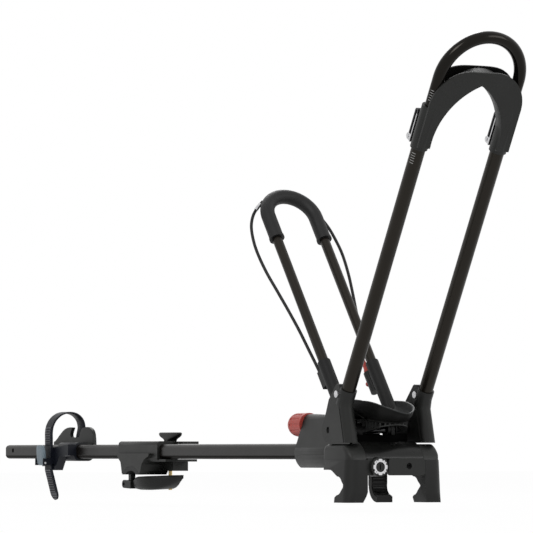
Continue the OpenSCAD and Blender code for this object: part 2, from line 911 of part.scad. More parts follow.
module lock_barrel() {
    color(DARK) small_frame() difference() {
        translate([barrel_off, barrel_y, 88]) cylinder(h = 39, r = barrel_r);
        translate([barrel_off - 20, barrel_y, 112]) rod_x(0, 20 - 3, 4.5);
    }
}

module cable_plug() {
    color(RED) small_frame() translate([barrel_off, barrel_y, 0]) {
        translate([0, 0, 127.2]) cylinder(h = 5, r = 5);
        translate([0, 0, 132]) cylinder(h = 20, r1 = 4.2, r2 = 3.4);
    }
}

module lock_button() {
    color(RED) small_frame() translate([barrel_off, barrel_y, 112]) {
        rod_x(-9.5, -3.2, 4.2);
        translate([-9.5, 0, 0]) intersection() {
            sphere(4.2);
            translate([-10, -10, -10]) cube([10, 20, 20]);
        }
    }
}

// Tension drive

module tension_knob() {
    x = house_rear - 1;
    color(RED) translate([0, 0, lead_z]) difference() {
        union() {
            rod_x(x - 33, x, knob_r);
            translate([x - 33, 0, 0]) sphere(knob_r);
        }
        rod_x(x - 20, x + 1, lead_r + fit);
        for (a = [0 : 30 : 330])
            rotate([a, 0, 0]) translate([0, 0, knob_r + 1.2]) rod_x(x - 34, x - 6, 2.4);
    }
}

module lead_screw() {
    x = house_rear - 1;
    color(STEEL) translate([0, 0, lead_z]) rod_x(x - 19.5, nut_front + 6, lead_r);
}

module nut_side() {
    for (m = [0, 1])
        mirror([m, 0]) polygon([[-0.5, lead_z + 9], [6.5, lead_z + 9], [8.5, lead_z + 6.5], [8.5, pivot_up - 2], [drawbar_out, pivot_up - 15],
            [drawbar_out, pin_z - 5], [drawbar_in, pin_z - 5], [drawbar_in, pivot_up - 17], [-0.5, pivot_up - 17]]);
}

module tension_nut() {
    color(STEEL) difference() {
        union() {
            run_x(nut_front - 16, nut_front) nut_side();
            both_sides() {
                translate([nut_front - 16, drawbar_in, pin_z - 5]) cube([16 - nut_front - pivot_back, drawbar_t, 10]);
                translate([-pivot_back - 7, drawbar_in, pin_z - 5.5]) cube([14, drawbar_t, 13.5]);
            }
        }
        translate([0, 0, lead_z]) rod_x(-200, -100, lead_r + 0.1);
        translate([-pivot_back - crank_pin_r - 0.25, -60, pin_z - crank_pin_r - 0.25])
            cube([2*crank_pin_r + 0.5, 120, 2*crank_pin_r + 2.4]);
    }
}

// Rear bar clamp

module clamp_body() {
    w = tube_w + 10;
    front = clamp_back + clamp_len;
    color(MOULD) translate([clamp_x, 0, 0]) difference() {
        union() {
            translate([0, 0, tube_z + 0.5]) run_x(clamp_back, front) round_rect(w, tube_h + 10, 6);
            slab(-27, 27) polygon([[clamp_back, 50], [-52, 46], [-39, 35], [-33.5, 15], [33, 15], [37, 20], [41, 31],
                [52, 40], [68, 46], [68, 50]]);
            translate([-53, w/2 - 4, 20]) cube([front - 10 + 53, 29, 18]);
            translate([0, w/2 - 6, 66]) cube([front + 29, 31, 4.5]);
            translate([-53, -w/2 + 2, 36]) cube([front + 27 + 53, w/2 + 43 - 2, 4]);
            translate([-52, -4.5, jaw_pin_z]) cube([9, 9, 45]);
            translate([jaw_pin_x, 0, jaw_pin_z]) rod_y(-4.5, 4.5, 6);
        }
        run_x(-200, 200) tube_outline(slide_fit);
        slab(-60, 60) translate([0, pad_z]) circle(pad_r);
        translate([clamp_bolt_x, clamp_bolt_y, -50]) cylinder(h = 200, r = clamp_bolt_r + 0.3);
        translate([jaw_pin_x, 0, jaw_pin_z]) rod_y(-60, 60, jaw_pin_r + run_fit);
    }
}

module saddle_pad() {
    color(DARK) translate([clamp_x, 0, 0]) slab(-27, 27) intersection() {
        translate([0, pad_z]) difference() {
            circle(pad_r - 0.2);
            circle(pad_r - pad_t);
        }
        translate([-34, 13.5]) square([68, 40]);
    }
}

module rear_jaw() {
    color(DARK) translate([clamp_x, 0, 0]) difference() {
        slab(-16, 38) {
            polygon([[jaw_pin_x, jaw_pin_z + 7], [-32, 1], [-20, 2], [-8, 8], [4, 10], [70, 13], [74, 11], [60, 2],
                [40, -6], [0, -13], [-30, -13], [jaw_pin_x, jaw_pin_z - 7], [jaw_pin_x - 5, jaw_pin_z - 5],
                [jaw_pin_x - 7, jaw_pin_z], [jaw_pin_x - 5, jaw_pin_z + 5]]);
        }
        translate([jaw_pin_x - 20, -5, -60]) cube([32, 10, 120]);
        translate([clamp_bolt_x, clamp_bolt_y, -60]) {
            translate([-4, 0, 0]) cylinder(h = 120, r = clamp_bolt_r + 0.8);
            translate([3, 0, 0]) cylinder(h = 120, r = clamp_bolt_r + 0.8);
            translate([-4, -clamp_bolt_r - 0.8, 0]) cube([7, 2*clamp_bolt_r + 1.6, 120]);
        }
        translate([clamp_bolt_x, 0, barrel_nut_z]) rod_y(clamp_bolt_y - 7, 60, barrel_nut_r + fit);
        translate([jaw_pin_x, 0, jaw_pin_z]) rod_y(-60, 60, jaw_pin_r + fit);
    }
}

module jaw_pin() {
    color(STEEL) translate([clamp_x + jaw_pin_x, 0, jaw_pin_z]) rod_y(-16, 38, jaw_pin_r);
}

module barrel_nut() {
    color(BRASS) translate([clamp_x + clamp_bolt_x, 0, 0]) difference() {
        translate([0, 0, barrel_nut_z]) rod_y(clamp_bolt_y - 6.8, clamp_bolt_y + 6.8, barrel_nut_r);
        translate([0, clamp_bolt_y, -20]) cylinder(h = 60, r = clamp_bolt_r + 1);
    }
}

module clamp_bolt() {
    color(BRASS) translate([clamp_x + clamp_bolt_x, clamp_bolt_y, -13]) cylinder(h = 95, r = clamp_bolt_r);
}

module wing_knob() {
    color(DARK) translate([clamp_x + clamp_bolt_x, clamp_bolt_y, 70.8]) difference() {
        union() {
            cylinder(h = 15.5, r = 10);
            translate([0, 0, 4]) linear_extrude(11) round_rect(wing_len, 11, 5.4);
        }
        translate([0, 0, -1]) cylinder(h = 12.3, r = clamp_bolt_r + fit);
    }
}

// Rear wheel saddle

module wheel_saddle() {
    back = saddle_x - saddle_len/2;
    x = strap_x;
    color(MOULD) difference() {
        union() {
            run_x(back, back + saddle_len) translate([0, tube_z]) round_rect(tube_w + 8, tube_h + 8, tube_corner + 3);
            slab(wing_in, wing_out) polygon([[x - 88, 60], [x - 88, 71], [x - 54, 80], [x - 18, 95], [x - 15, 93],
                [x - 22, 83], [x - 17, 79], [x + 17, 78.6], [x + 19, 87], [x + 36, 95.5], [x + 65, 90.5], [x + 72, 69],
                [x + 72, 50], [x + 4, 50]]);
            slab(strap_near + 0.4, -tube_w/2 - 1) polygon([[x - 15, 58], [x + 31, 62], [x + 74, 66], [x + 74, 46],
                [x + 38, 44], [x + 21, 20], [x + 3, 20], [x - 15, 40]]);
        }
        run_x(back - 100, back + 200) tube_outline(slide_fit);
        translate([x, 0, 70]) rod_y(0, 60, 3 + fit);
    }
}

module strap() {
    near = strap_near;
    color(NAVY) {
        difference() {
            run_x(strap_x - strap_w/2, strap_x + strap_w/2) {
                translate([strap_mid, strap_bend]) intersection() {
                    difference() {
                        circle(strap_r + strap_t);
                        circle(strap_r);
                    }
                    translate([-60, 0]) square([120, 60]);
                }
                translate([strap_far, 62]) square([strap_t, strap_bend - 62]);
                translate([near - strap_t, 20]) square([strap_t, strap_bend - 20]);
                polygon([[near - strap_t, 20], [near, 20], [near + 11, -20], [near + 8, -20.8]]);
            }
            translate([strap_x, 0, 70]) rod_y(0, 60, 3 + fit);
        }
        translate([strap_x, near + 9.5, -20.4]) rotate([15.4, 0, 0]) rotate([90, 0, 0])
            linear_extrude(strap_t - 0.4, center = true) circle(strap_w/2 - 0.3);
        for (k = [0 : 5])
            translate([strap_x - strap_w/2 + 3, near - strap_t - 1, 64 + 5*k]) cube([strap_w - 6, 1.2, 2.4]);
        for (k = [0 : 7])
            translate([strap_x - strap_w/2 + 3, near - strap_t + 0.8 + 1.34*k, 14 - 5*k]) rotate([15.4, 0, 0])
                cube([strap_w - 6, 1.2, 2.4]);
    }
}

module strap_pin() {
    color(STEEL) translate([strap_x, 0, 70]) {
        rod_y(wing_in, strap_far + strap_t + 0.1, 3);
        rod_y(strap_far + strap_t + 0.1, strap_far + strap_t + 2, 5.5);
    }
}

module buckle_body() {
    w = strap_w + 6;
    x = strap_x;
    y = strap_near - strap_t - 0.3;
    color(BUCKLE) difference() {
        union() {
            translate([x - w/2, y - 3, buckle_floor]) cube([w, 3, buckle_top - buckle_floor]);
            for (s = [-1, 1]) {
                translate([x + s*(w/2 - 1.25) - 1.25, y - 3, buckle_floor + 4]) cube([2.5, strap_t + 3.3 + 0.2, 30]);
                translate([x + s*(w/2 - 1.25) - 1.25, lever_pin_y - 4, lever_pin_z - 4]) cube([2.5, y - lever_pin_y + 4, 12]);
            }
        }
        translate([x, lever_pin_y, lever_pin_z]) rod_x(-50, 50, 2 + fit);
    }
}

module buckle_pin() {
    w = strap_w + 6;
    color(STEEL) translate([strap_x, lever_pin_y, lever_pin_z]) rod_x(-w/2 - 0.5, w/2 + 0.5, 2);
}

module buckle_lever() {
    w = strap_w;
    color(BUCKLE) translate([strap_x, 0, 0]) difference() {
        run_x(-w/2, w/2) {
            translate([lever_pin_y, lever_pin_z]) circle(4);
            polygon([[lever_pin_y - 4, lever_pin_z], [lever_pin_y + 4, lever_pin_z], [lever_pin_y + 4, lever_pin_z + 10],
                [lever_pin_y + 3, buckle_top + 3], [lever_pin_y - 1, buckle_top + 3], [lever_pin_y - 4, lever_pin_z + 10]]);
        }
        translate([0, lever_pin_y, lever_pin_z]) rod_x(-50, 50, 2 + run_fit);
    }
}

tray_tube();
tube_end_plug();
base_casting();
front_hood();
front_plate();
near_foot();
far_foot();
near_cap();
far_cap();
rear_housing();
housing_belly();
tube_bolts();
cross_shaft();
lock_housing();
lock_bezel();
lock_core();
clamp_screw();
front_jaw();
jaw_pad();
near_bracket();
far_bracket();
near_leg();
far_leg();
bracket_bolts();
bridge_cover();
latch_bases();
latch_pins();
near_latch();
far_latch();
arch_tube();
arch_plugs();
rocker_frame();
wheel_dish();
small_hoop_tube();
hoop_grip();
cable_near();
cable_far();
cable_clip();
cable_plug();
lock_barrel();
lock_button();
tension_knob();
lead_screw();
tension_nut();
clamp_body();
saddle_pad();
rear_jaw();
jaw_pin();
barrel_nut();
clamp_bolt();
wing_knob();
wheel_saddle();
strap();
strap_pin();
buckle_body();
buckle_lever();
buckle_pin();
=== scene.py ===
"""Looks of a roof mounted bike carrier, laid out as an add-on: finishes, cords, small fittings and the stage."""
import json
from math import asin, copysign, cos, degrees, pi, radians, sin, sqrt

import bmesh
import bpy
from mathutils import Matrix, Vector


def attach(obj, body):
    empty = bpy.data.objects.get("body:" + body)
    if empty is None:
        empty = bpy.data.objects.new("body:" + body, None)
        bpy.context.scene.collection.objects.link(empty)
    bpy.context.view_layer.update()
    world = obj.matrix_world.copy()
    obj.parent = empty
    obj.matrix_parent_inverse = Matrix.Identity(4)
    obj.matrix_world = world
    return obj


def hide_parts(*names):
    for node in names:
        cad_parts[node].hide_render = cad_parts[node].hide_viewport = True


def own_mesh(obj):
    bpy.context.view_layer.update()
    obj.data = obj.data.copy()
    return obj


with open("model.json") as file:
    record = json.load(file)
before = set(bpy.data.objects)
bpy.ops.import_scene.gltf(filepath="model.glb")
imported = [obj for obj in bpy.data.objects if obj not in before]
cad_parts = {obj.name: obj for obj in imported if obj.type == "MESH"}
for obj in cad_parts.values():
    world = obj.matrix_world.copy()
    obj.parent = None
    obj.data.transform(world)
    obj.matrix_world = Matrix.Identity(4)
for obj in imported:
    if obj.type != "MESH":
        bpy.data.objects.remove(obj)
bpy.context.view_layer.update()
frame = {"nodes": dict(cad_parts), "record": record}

MM = 0.001

bl_info = {
    "name": "Roof Bike Carrier Looks",
    "version": (1, 0, 0),
    "blender": (4, 5, 0),
    "location": "View3D > Sidebar > Carrier",
    "description": "Dresses an upright roof mounted bike carrier",
    "category": "Object",
}

# Places that the solids use, in millimetres and degrees
PIVOT = (-34.5, 0.0, 86.0)
SMALL_LEAN = -37.1
HOOP_LEAN = 30.4
HOOP_HALF = 69.6
LEG_SHIFT = 5.0

# Lock cable, in the small hoop's own frame: shift, how far out to its side, along; the upper run that both sides
# share, then each side with its lower run; and the side, in metres, that the cable draws in to
CABLE_TOP = (
    (-3, 41, 469), (-7, 52, 459), (-11, 63, 445), (-13, 72, 425), (-14, 77, 400), (-14, 79, 370), (-14, 76, 330),
)
CABLE_SIDES = (
    ("near", -1, ((-14, 69, 290), (-14, 62, 250), (-14, 56, 210), (-15, 51, 170), (-16, 47, 140), (-16, 46, 128.4))),
    ("far", 1, (
        (-14, 70, 290), (-14, 63, 250), (-14, 56, 210), (-15, 49, 178), (-16, 44, 160), (-16.5, 42.7, 152.4),
    )),
)

# Lamps: name, place, size and power, then the place they aim at, in metres and watts
LAMPS = (
    ("key_lamp", (2.2, -2.6, 2.6), 1.6, 60.0),
    ("fill_lamp", (2.6, 1.8, 1.4), 1.4, 22.0),
    ("rim_lamp", (-2.4, 0.8, 2.4), 1.4, 30.0),
)
LAMP_AIM = (-0.3, 0.0, 0.3)

# Backdrop's light on the carrier and as the camera sees it; the floor's half side and how much of it glows there
ROOM_LIGHT = (0.55, 1.0)
FLOOR_HALF = 12.0
FLOOR_GLOW = 0.97

# Mouldings with a small round on their edges, which takes a paler painted edge highlight, and those of them whose
# round stays plain
CORNERED = (
    "near_bracket", "far_bracket", "bridge_cover", "rear_housing", "housing_belly", "clamp_body",
    "wheel_saddle", "front_plate",
)
PLAIN_EDGED = ("bridge_cover",)

# Warm cast of the coated tubes' sheen
WARM_SHEEN = (1.0, 0.92, 0.8, 1.0)

# Finishes: the colour's name, the name with a factor and a lift, or a colour of its own; IOR and specular level, none
# on metal; grain and spread of the colour; grain, low, high and stretch of the roughness; grain, strength and any
# unusual depth of the bump
BRUSHED = (1, 6, 1)
COAT = ((0.05, 0.16), (0.03, 0.3, 0.35), (0.0009, 0.06))
# Shader values of the paler painted edge highlights
EDGE_HIGHLIGHT = ((1.46, 0.34), (0.006, 0.3), (0.008, 0.28, 0.42), (0.0008, 0.06))
FINISH_TABLE = {
    "powder_coat": ("powder", (1.5, 0.27), *COAT),
    # Tray coat: the powder coat, given painted shade on its underside further on
    "tray_coat": ("powder", (1.5, 0.5), *COAT),
    "gloss_coat": ("gloss", (1.5, 0.13), (0.05, 0.2), (0.03, 0.14, 0.2), (0.004, 0.03, 0.0002)),
    # A dark copy of the mouldings for painted shade, and a pale one for painted light on the bowl's inside
    "bowl_side": ((0.0048, 0.0049, 0.0046), (1.45, 0.15), (0.03, 0.2), (0.02, 0.42, 0.5), (0.0008, 0.06)),
    "bowl_inside": ((0.021, 0.0225, 0.0225), (1.45, 0.3), (0.03, 0.16), (0.02, 0.48, 0.56), (0.0008, 0.08)),
    "bowl_rib": ((0.013, 0.0135, 0.013), (1.45, 0.3), (0.02, 0.2), (0.02, 0.48, 0.56), (0.0008, 0.06)),
    "shade_black": ((0.0016, 0.0016, 0.0016), (1.45, 0.04), (0.02, 0.2), (0.02, 0.7, 0.8), (0.001, 0.05)),
    "grey_mould": ("grey", (1.46, 0.3), (0.05, 0.08), (0.03, 0.42, 0.47), (0.0007, 0.08)),
    # Paler copies of the mouldings, painted highlights on rounded edges and ribs
    "grey_mould_rubbed": (("grey", 1.9, 0.002), *EDGE_HIGHLIGHT),
    "black_mould": ("black", (1.46, 0.3), (0.04, 0.1), (0.03, 0.44, 0.5), (0.0006, 0.08)),
    "black_mould_rubbed": (("black", 1.9, 0.002), *EDGE_HIGHLIGHT),
    "hood_gloss": ("black", (1.46, 0.3), (0.04, 0.1), (0.03, 0.24, 0.28), (0.0007, 0.05)),
    "cast_base": ("casting", (1.48, 0.25), (0.03, 0.12), (0.02, 0.5, 0.58), (0.0012, 0.14, 0.0002)),
    "red_plastic": ("red", (1.46, 0.5), (0.006, 0.08), (0.005, 0.48, 0.6), (0.0005, 0.2, 0.0002)),
    "saddle_mould": ("grey", (1.46, 0.26), None, (0.03, 0.42, 0.48), (0.0007, 0.08)),
    # Paler finish on the strap's tooth tops, a painted highlight
    "strap_worn": (("strap", 2.6, 0.006), (1.48, 0.5), (0.008, 0.15), (0.006, 0.3, 0.4), (0.0008, 0.1, 0.0002)),
    "strap_plastic": ("strap", (1.48, 0.15), (0.008, 0.2), (0.006, 0.36, 0.5), (0.0008, 0.2, 0.0003)),
    "buckle_plastic": ("buckle", (1.46, 0.5), (0.006, 0.1), (0.005, 0.4, 0.52), (0.0006, 0.2, 0.0002)),
    "black_rubber": ("rubber", (1.5, 0.32), (0.03, 0.1), (0.02, 0.52, 0.58), (0.0006, 0.12)),
    "tick_ink": ("tick", (1.46, 0.5), (0.002, 0.15), (0.002, 0.5, 0.6), (0.0004, 0.1)),
    "bright_steel": ("steel", None, (0.003, 0.14), (0.002, 0.2, 0.36, BRUSHED), (0.0007, 0.12, 0.0002)),
    "bezel_chrome": ((0.62, 0.62, 0.63), None, (0.004, 0.06), (0.003, 0.08, 0.16), (0.001, 0.05, 0.0002)),
    "black_steel": ("blackened", None, (0.004, 0.16), (0.003, 0.3, 0.42, BRUSHED), (0.0008, 0.1, 0.0002)),
    "brass_bolt": ("brass", None, (0.004, 0.18), (0.003, 0.24, 0.4), (0.0008, 0.14, 0.0002)),
}

# Further values on some finishes' shaders
FINISH_EXTRAS = {
    "powder_coat": {"Specular Tint": WARM_SHEEN},
    "gloss_coat": {"Specular Tint": WARM_SHEEN, "Coat Weight": 0.07, "Coat Roughness": 0.06},
    "red_plastic": {"Sheen Weight": 0.15, "Sheen Roughness": 0.5},
}

# Tray coat: painted shade on its underside; the face slope over which the sheen fades below, and the sheen's levels
TRAY_SHADE_SLOPE = (-0.24, -0.08)
TRAY_SHEEN = (0.02, 0.25)

# Saddle: side, in metres, over which the strap's colour turns into the grey of the mouldings
SADDLE_SPLIT = (-0.018, 0.012)

# Ladder strap, in millimetres: place along the tray, then side and height across it, and its free tail
STRAP_X = -1131.0
STRAP_WIDE = 28.0
STRAP_THICK = 3.0
STRAP_ROUTE = (
    (26.2, 62), (26.6, 72), (30, 88), (31.4, 99), (27.5, 111), (17.5, 120), (3, 123.4),
    (-12, 120.6), (-24, 112), (-31.3, 100), (-33.7, 88), (-33.7, 76), (-33.7, 64), (-33.7, 50),
    (-33.7, 36), (-33.7, 28), (-33.7, 20),
)
STRAP_TAIL = (11.0, -40.4)
TAIL_LENGTH = 41.9
STRAP_TIP_ROUND = 13.7
TOOTH_PITCH = 4.4
TOOTH_RISE = 1.2
TOOTH_TOP = 96.0
TOOTH_STRIP = 4
BUCKLE_REACH = (23.0, 64.5)

# Front jaw's rubber face: inner radius; its ribs' turns in degrees, half length, half width as an angle, and the
# heights of the two straight ones
JAW_FACE = 15.5
RIB_TURNS = (-170, -149, -128, -107)
RIB_HALF = 12.5
RIB_LEAN = 0.08
RIB_HEIGHTS = (6.0, 11.6)

# Shoulder caps: side, edge round, rear corner's middle and round; the hood's curve that they follow
CAP_SIDE = 82.6
CAP_ROUND = 8.0
CAP_CORNER = (-40.0, 52.5)
CAP_CORNER_ROUND = 12.0
HOOD_MIDDLE = (-5.0, 30.0)
HOOD_ROUND = 38.5

# Feet: back and front, top and height, inner and outer face, depth between them, the outer face's flare, how far the
# inner face draws out low down, the front and rear rounds, and the round of the bar's hollow
FOOT_BACK = -52.0
FOOT_FRONT = 36.0
FOOT_TOP = 40.0
FOOT_HEIGHT = 66.0
FOOT_IN = 51.6
FOOT_OUT = 83.6
FOOT_DEPTH = 33.0
FOOT_FLARE = 3.5
FOOT_TUCK = 5.5
TUCK_FROM = -12.0
TUCK_HEIGHT = 14.0
FOOT_ROUND = 18.0
FOOT_REAR_ROUND = 8.0
BAR_ROUND = 14.3

# Lock ring's side and height, and its notches, dark bars of painted shade: front and back, inner and outer reach,
# half width as an angle
LOCK_PLACE = (-33.5, 29.0)
NOTCH_COUNT = 8
NOTCH_FACES = (42.6, 43.7)
NOTCH_REACH = (10.8, 12.7)
NOTCH_LEAN = 0.12

# Two corners of the black plate under the cradle, painted shade standing in for the dark space there
SHADE_PLATE = ((-17, -50, 63), (-15.5, 50, 79))

# Cradle bowl, half of it: the rim and the lower edge of its wall
BOWL_RIM = (
    (-34, 38.6, 132.4), (-14.5, 36, 132), (4, 33.8, 131), (22, 31.6, 128.2), (39, 28, 123.8),
    (54, 20, 118.6), (64, 10.5, 114.2), (68, 0, 111.8),
)
BOWL_KEEL = (
    (-34, 38.2, 118), (-18, 33.6, 107.6), (-4, 31.2, 102.8), (11, 28.6, 100.2), (25, 25.4, 98.6),
    (34, 17, 97.4), (39.5, 8, 97), (41, 0, 96.8),
)

# Bowl's wall and the plate inside it: bulge, thickness, strips outside, which are dark as painted shade while the
# rest is pale as painted light, the plate's heights and where it is outlined
BOWL_BULGE = 3.0
BOWL_THICK = 2.4
OUTER_STRIPS = 10
BOWL_FLOOR = (103.6, 106.4)
FLOOR_CUT = 105.0

# Fins under the bowl: where they start, how low, how fast their lower ends climb, spacing, depth, half thickness, and
# the depth of the band that joins them
FIN_START = -6.0
FIN_LOW = 82.4
FIN_CLIMB = 0.23
FIN_PITCH = 7.4
FIN_DEPTH = 6.5
FIN_HALF = 1.3
BAND_DEPTH = 7.0

# Wheel dish: floor, outer half width, wall, the middle of its round back, and the wall's heights from back to front
DISH_FLOOR = 103.0
DISH_OUT = 32.9
DISH_WALL = 4.3
DISH_BACK = -57.0
DISH_PROFILE = ((-95, 34), (-91, 32.5), (-82, 26), (-70, 20), (-2, 10), (6, 8))

# Wing knob: place, turn and squareness in plan, then height, half length and half width
KNOB_PLACE = (-782.0, 31.0)
KNOB_TURN = radians(5)
KNOB_SQUARE = 3.2
KNOB_ROWS = (
    (70.8, 9.6, 9.6), (73.5, 11, 9.8), (75.5, 16, 9.2), (78, 25, 8), (81, 31.5, 7),
    (84, 33.5, 6.2), (85.6, 33, 5.4), (86.3, 30.5, 4),
)

# Rear jaw: the hinge, its eyes' round, sides and arm, and along the jaw its near side, bottom and top
JAW_HINGE = (-867.5, -3.0)
JAW_EYE_ROUND = 7.0
JAW_FAR = 38.0
JAW_EYES = (("near", (-16.0, -5.5)), ("far", (5.5, JAW_FAR)))
JAW_ARM = ((-842.0, -11.0), (-842.0, 2.0))
JAW_ROWS = (
    (-850, -8, -8, 1.2), (-840, -12, -11, 2), (-833, -14, -12.2, 5), (-826, -15, -12.8, 8.4),
    (-815, -15.8, -13, 10), (-803, -15, -13, 10.5), (-791, -12, -13, 11),
    (-779, -6.5, -12.4, 11.4), (-768, 1, -9.6, 11.8), (-759, 9.5, -5, 12.2), (-752, 19, 0.8, 12.6),
    (-747.5, 27, 6.6, 12.8), (-746.2, 31, 9.6, 12.9),
)

# Saddle's horn and rear lobe: side view from the strap's place, then the two sides
HORN_OUTLINE = (
    (-88.2, 50), (-88.2, 66), (-87, 69.6), (-83.7, 72), (-75, 76.4), (-66.5, 81.6), (-57, 87.2),
    (-49.3, 91.4), (-41, 94.6), (-32.2, 96.4), (-22, 97.2), (-12, 96.8), (-10.9, 95.6), (-13, 93.4),
    (-15.2, 90.2), (-17.8, 86.6), (-18.6, 83.6), (-17.2, 80.6), (-13.5, 79), (0, 78.9), (14, 78.9),
    (17, 80.2), (18.4, 83), (19.8, 87.2), (24, 92), (31, 95.6), (38.6, 97.2), (47, 97.4), (55.7, 96.6),
    (63, 94.4), (68.6, 90.8), (72.4, 85.2), (74.4, 77), (75.2, 68), (75.2, 50),
)
HORN_SIDES = (18.2, 24.8)

# Back wall of the bridge cover in the hoop's frame: front and back, top, its fall, half width and lower edge
BACK_FACES = (-8.4, -6.0)
BACK_TOP = 627.0
BACK_FALL = 20.0
BACK_HALF = 66
BACK_FOOT = ((66, 588), (44, 600), (-44, 600), (-66, 588))

# Buckle lever: squareness in plan, then height, side, half thickness and half width
LEVER_SQUARE = 5.0
LEVER_ROWS = (
    (28.6, -46.9, 1.6, 9), (29.6, -47, 3, 11.4), (33, -47.5, 4.2, 12.8), (40, -48.2, 4.1, 13.4),
    (50, -49.1, 3.9, 13.6), (58, -49.9, 3.6, 13.2), (63, -50.4, 2.9, 12.2), (64.6, -50.6, 1.4, 10),
)

# Tick marks: body, along the leg, tube radius, count; then spacing, ends in degrees, and lift and rise at the corners
TICKS = (("hoop_extension", 574, 9.5, 5), ("wheel_hoop", 470, 11.1, 5))
TICK_PITCH = 4.0
MARK_TURNS = (-78, -42)
MARK_CORNERS = ((-0.1, -0.5), (0.12, -0.5), (0.12, 0.5), (-0.1, 0.5))


def colour_prop(name, words, default):
    """A colour that a user may change."""
    return bpy.props.FloatVectorProperty(
        name=name, description=words, default=default, subtype="COLOR", size=3, min=0.0, max=1.0
    )


def length_prop(name, words, default):
    """A length in metres that a user may change."""
    return bpy.props.FloatProperty(
        name=name, description=words, default=default, subtype="DISTANCE", unit="LENGTH", min=0.0
    )


def angle_prop(name, words, angle):
    """An angle that a user may change."""
    return bpy.props.FloatProperty(name=name, description=words, default=radians(angle), subtype="ANGLE")


class CarrierColours(bpy.types.PropertyGroup):
    """Colours of the finishes."""

    powder: colour_prop("Powder coat", "Satin coat on the hoop legs and the tray tube", (0.0046, 0.0036, 0.0029))
    gloss: colour_prop("Gloss coat", "Gloss coat on the sliding arch", (0.0028, 0.0024, 0.0021))
    grey: colour_prop("Grey mouldings", "Satin moulded covers", (0.0098, 0.0102, 0.0094))
    black: colour_prop("Black mouldings", "Matt moulded feet and jaws", (0.0056, 0.0058, 0.0054))
    casting: colour_prop("Base casting", "Matt black casting", (0.004, 0.004, 0.0039))
    red: colour_prop("Red plastic", "Tension knob and lock button", (0.36, 0.04, 0.028))
    strap: colour_prop("Strap", "Wheel strap and its block", (0.0042, 0.0052, 0.0095))
    buckle: colour_prop("Buckle", "Ratchet buckle", (0.14, 0.18, 0.21))
    rubber: colour_prop("Rubber", "Grip, pads and cable cover", (0.0052, 0.0052, 0.0053))
    steel: colour_prop("Zinc plate", "Bolts, latches and pins", (0.55, 0.55, 0.56))
    blackened: colour_prop("Blackened steel", "Latch levers, cross shaft and drawbars", (0.075, 0.075, 0.077))
    tick: colour_prop("Tick marks", "Printed setting marks", (0.25, 0.25, 0.245))
    brass: colour_prop("Brass", "Rear clamp bolt", (0.55, 0.42, 0.2))


class CarrierSizes(bpy.types.PropertyGroup):
    """Sizes of the small pieces."""

    cable: length_prop("Cable diameter", "Lock cable over its cover", 0.005)
    edge: length_prop("Edge round", "Round on the moulded edges", 0.0006)


class CarrierStage(bpy.types.PropertyGroup):
    """Camera and stage."""

    lens: bpy.props.FloatProperty(
        name="Lens", description="Focal length on a 36 mm sensor, in millimetres", default=269.54, min=1.0
    )
    distance: length_prop("Camera distance", "From the camera to its target", 6.5462)
    azimuth: angle_prop("Azimuth", "Camera azimuth", 61.1667)
    elevation: angle_prop("Elevation", "Camera elevation", -2.6877)
    target: bpy.props.FloatVectorProperty(
        name="Target", description="Point the camera looks at", default=(-0.38131, 0.0, 0.35625),
        subtype="TRANSLATION", unit="LENGTH", size=3
    )
    floor: bpy.props.FloatProperty(
        name="Floor height", description="Height of the floor", default=-0.04, subtype="DISTANCE", unit="LENGTH"
    )


def hoop_point(point, lean=HOOP_LEAN):
    """World place, in metres, of a point in the big hoop's frame, or in the small one's with its lean."""
    turn = Matrix.Rotation(radians(lean), 4, "Y")
    return (turn @ Vector(point) + Vector(PIVOT)) * MM


def heading(line, i):
    """Way along a line of points at one of them."""
    return (line[min(i + 1, len(line) - 1)] - line[max(i - 1, 0)]).normalized()


def arc(middle, radius, start, end, steps):
    """Places on a circle between two angles in degrees."""
    turns = [radians(start + (end - start) * k / steps) for k in range(steps + 1)]
    return [(middle[0] + radius * cos(turn), middle[1] + radius * sin(turn)) for turn in turns]


def smooth_line(points, steps):
    """Points on a smooth line through the given ones."""
    line = []
    last = len(points) - 1
    for i in range(last):
        before = points[max(i - 1, 0)]
        start = points[i]
        end = points[i + 1]
        after = points[min(i + 2, last)]
        for k in range(steps):
            t = k / steps
            line.append(0.5 * (
                2 * start + (end - before) * t
                + (2 * before - 5 * start + 4 * end - after) * t * t
                + (3 * start - before - 3 * end + after) * t ** 3
            ))
    line.append(points[last])
    return line


def mm(x, y, z):
    """A place in metres from millimetres."""
    return Vector((x, y, z)) * MM


def link_object(name, data):
    """A new object in the scene."""
    made = bpy.data.objects.new(name, data)
    bpy.context.scene.collection.objects.link(made)
    return made


def add_piece(name, mesh, body, slot, finish=None):
    """Links a mesh as a piece of the carrier, with its slot's finish or a named one."""
    piece = link_object(name, mesh)
    mesh.materials.append(finish_of(finish or slot))
    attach(piece, body)
    return piece


def add_shell(name, loops, body, slot, finish=None):
    """Links a closed skin through loops as a piece."""
    return add_piece(name, skin(name, loops), body, slot, finish)


def add_bars(name, bm, body, slot, finish=None):
    """Links the bars in a bmesh as one piece."""
    return add_piece(name, closed_mesh(name, bm), body, slot, finish)


def add_bevel(piece, name, width, angle):
    """A bevel on the edges that turn by more than an angle."""
    bevel = piece.modifiers.new(name, "BEVEL")
    bevel.width = width
    bevel.segments = 2
    bevel.limit_method = "ANGLE"
    bevel.angle_limit = radians(angle)
    return bevel


def join_loops(bm, loops):
    """Closes a skin through loops of points; returns its side faces, each with its row and strip."""
    rings = [[bm.verts.new(point) for point in loop] for loop in loops]
    count = len(rings[0])
    sides = []
    for row, (first, second) in enumerate(zip(rings, rings[1:])):
        for k in range(count):
            after = (k + 1) % count
            sides.append((bm.faces.new((first[k], first[after], second[after], second[k])), row, k))
    bm.faces.new(list(reversed(rings[0])))
    bm.faces.new(rings[-1])
    return sides


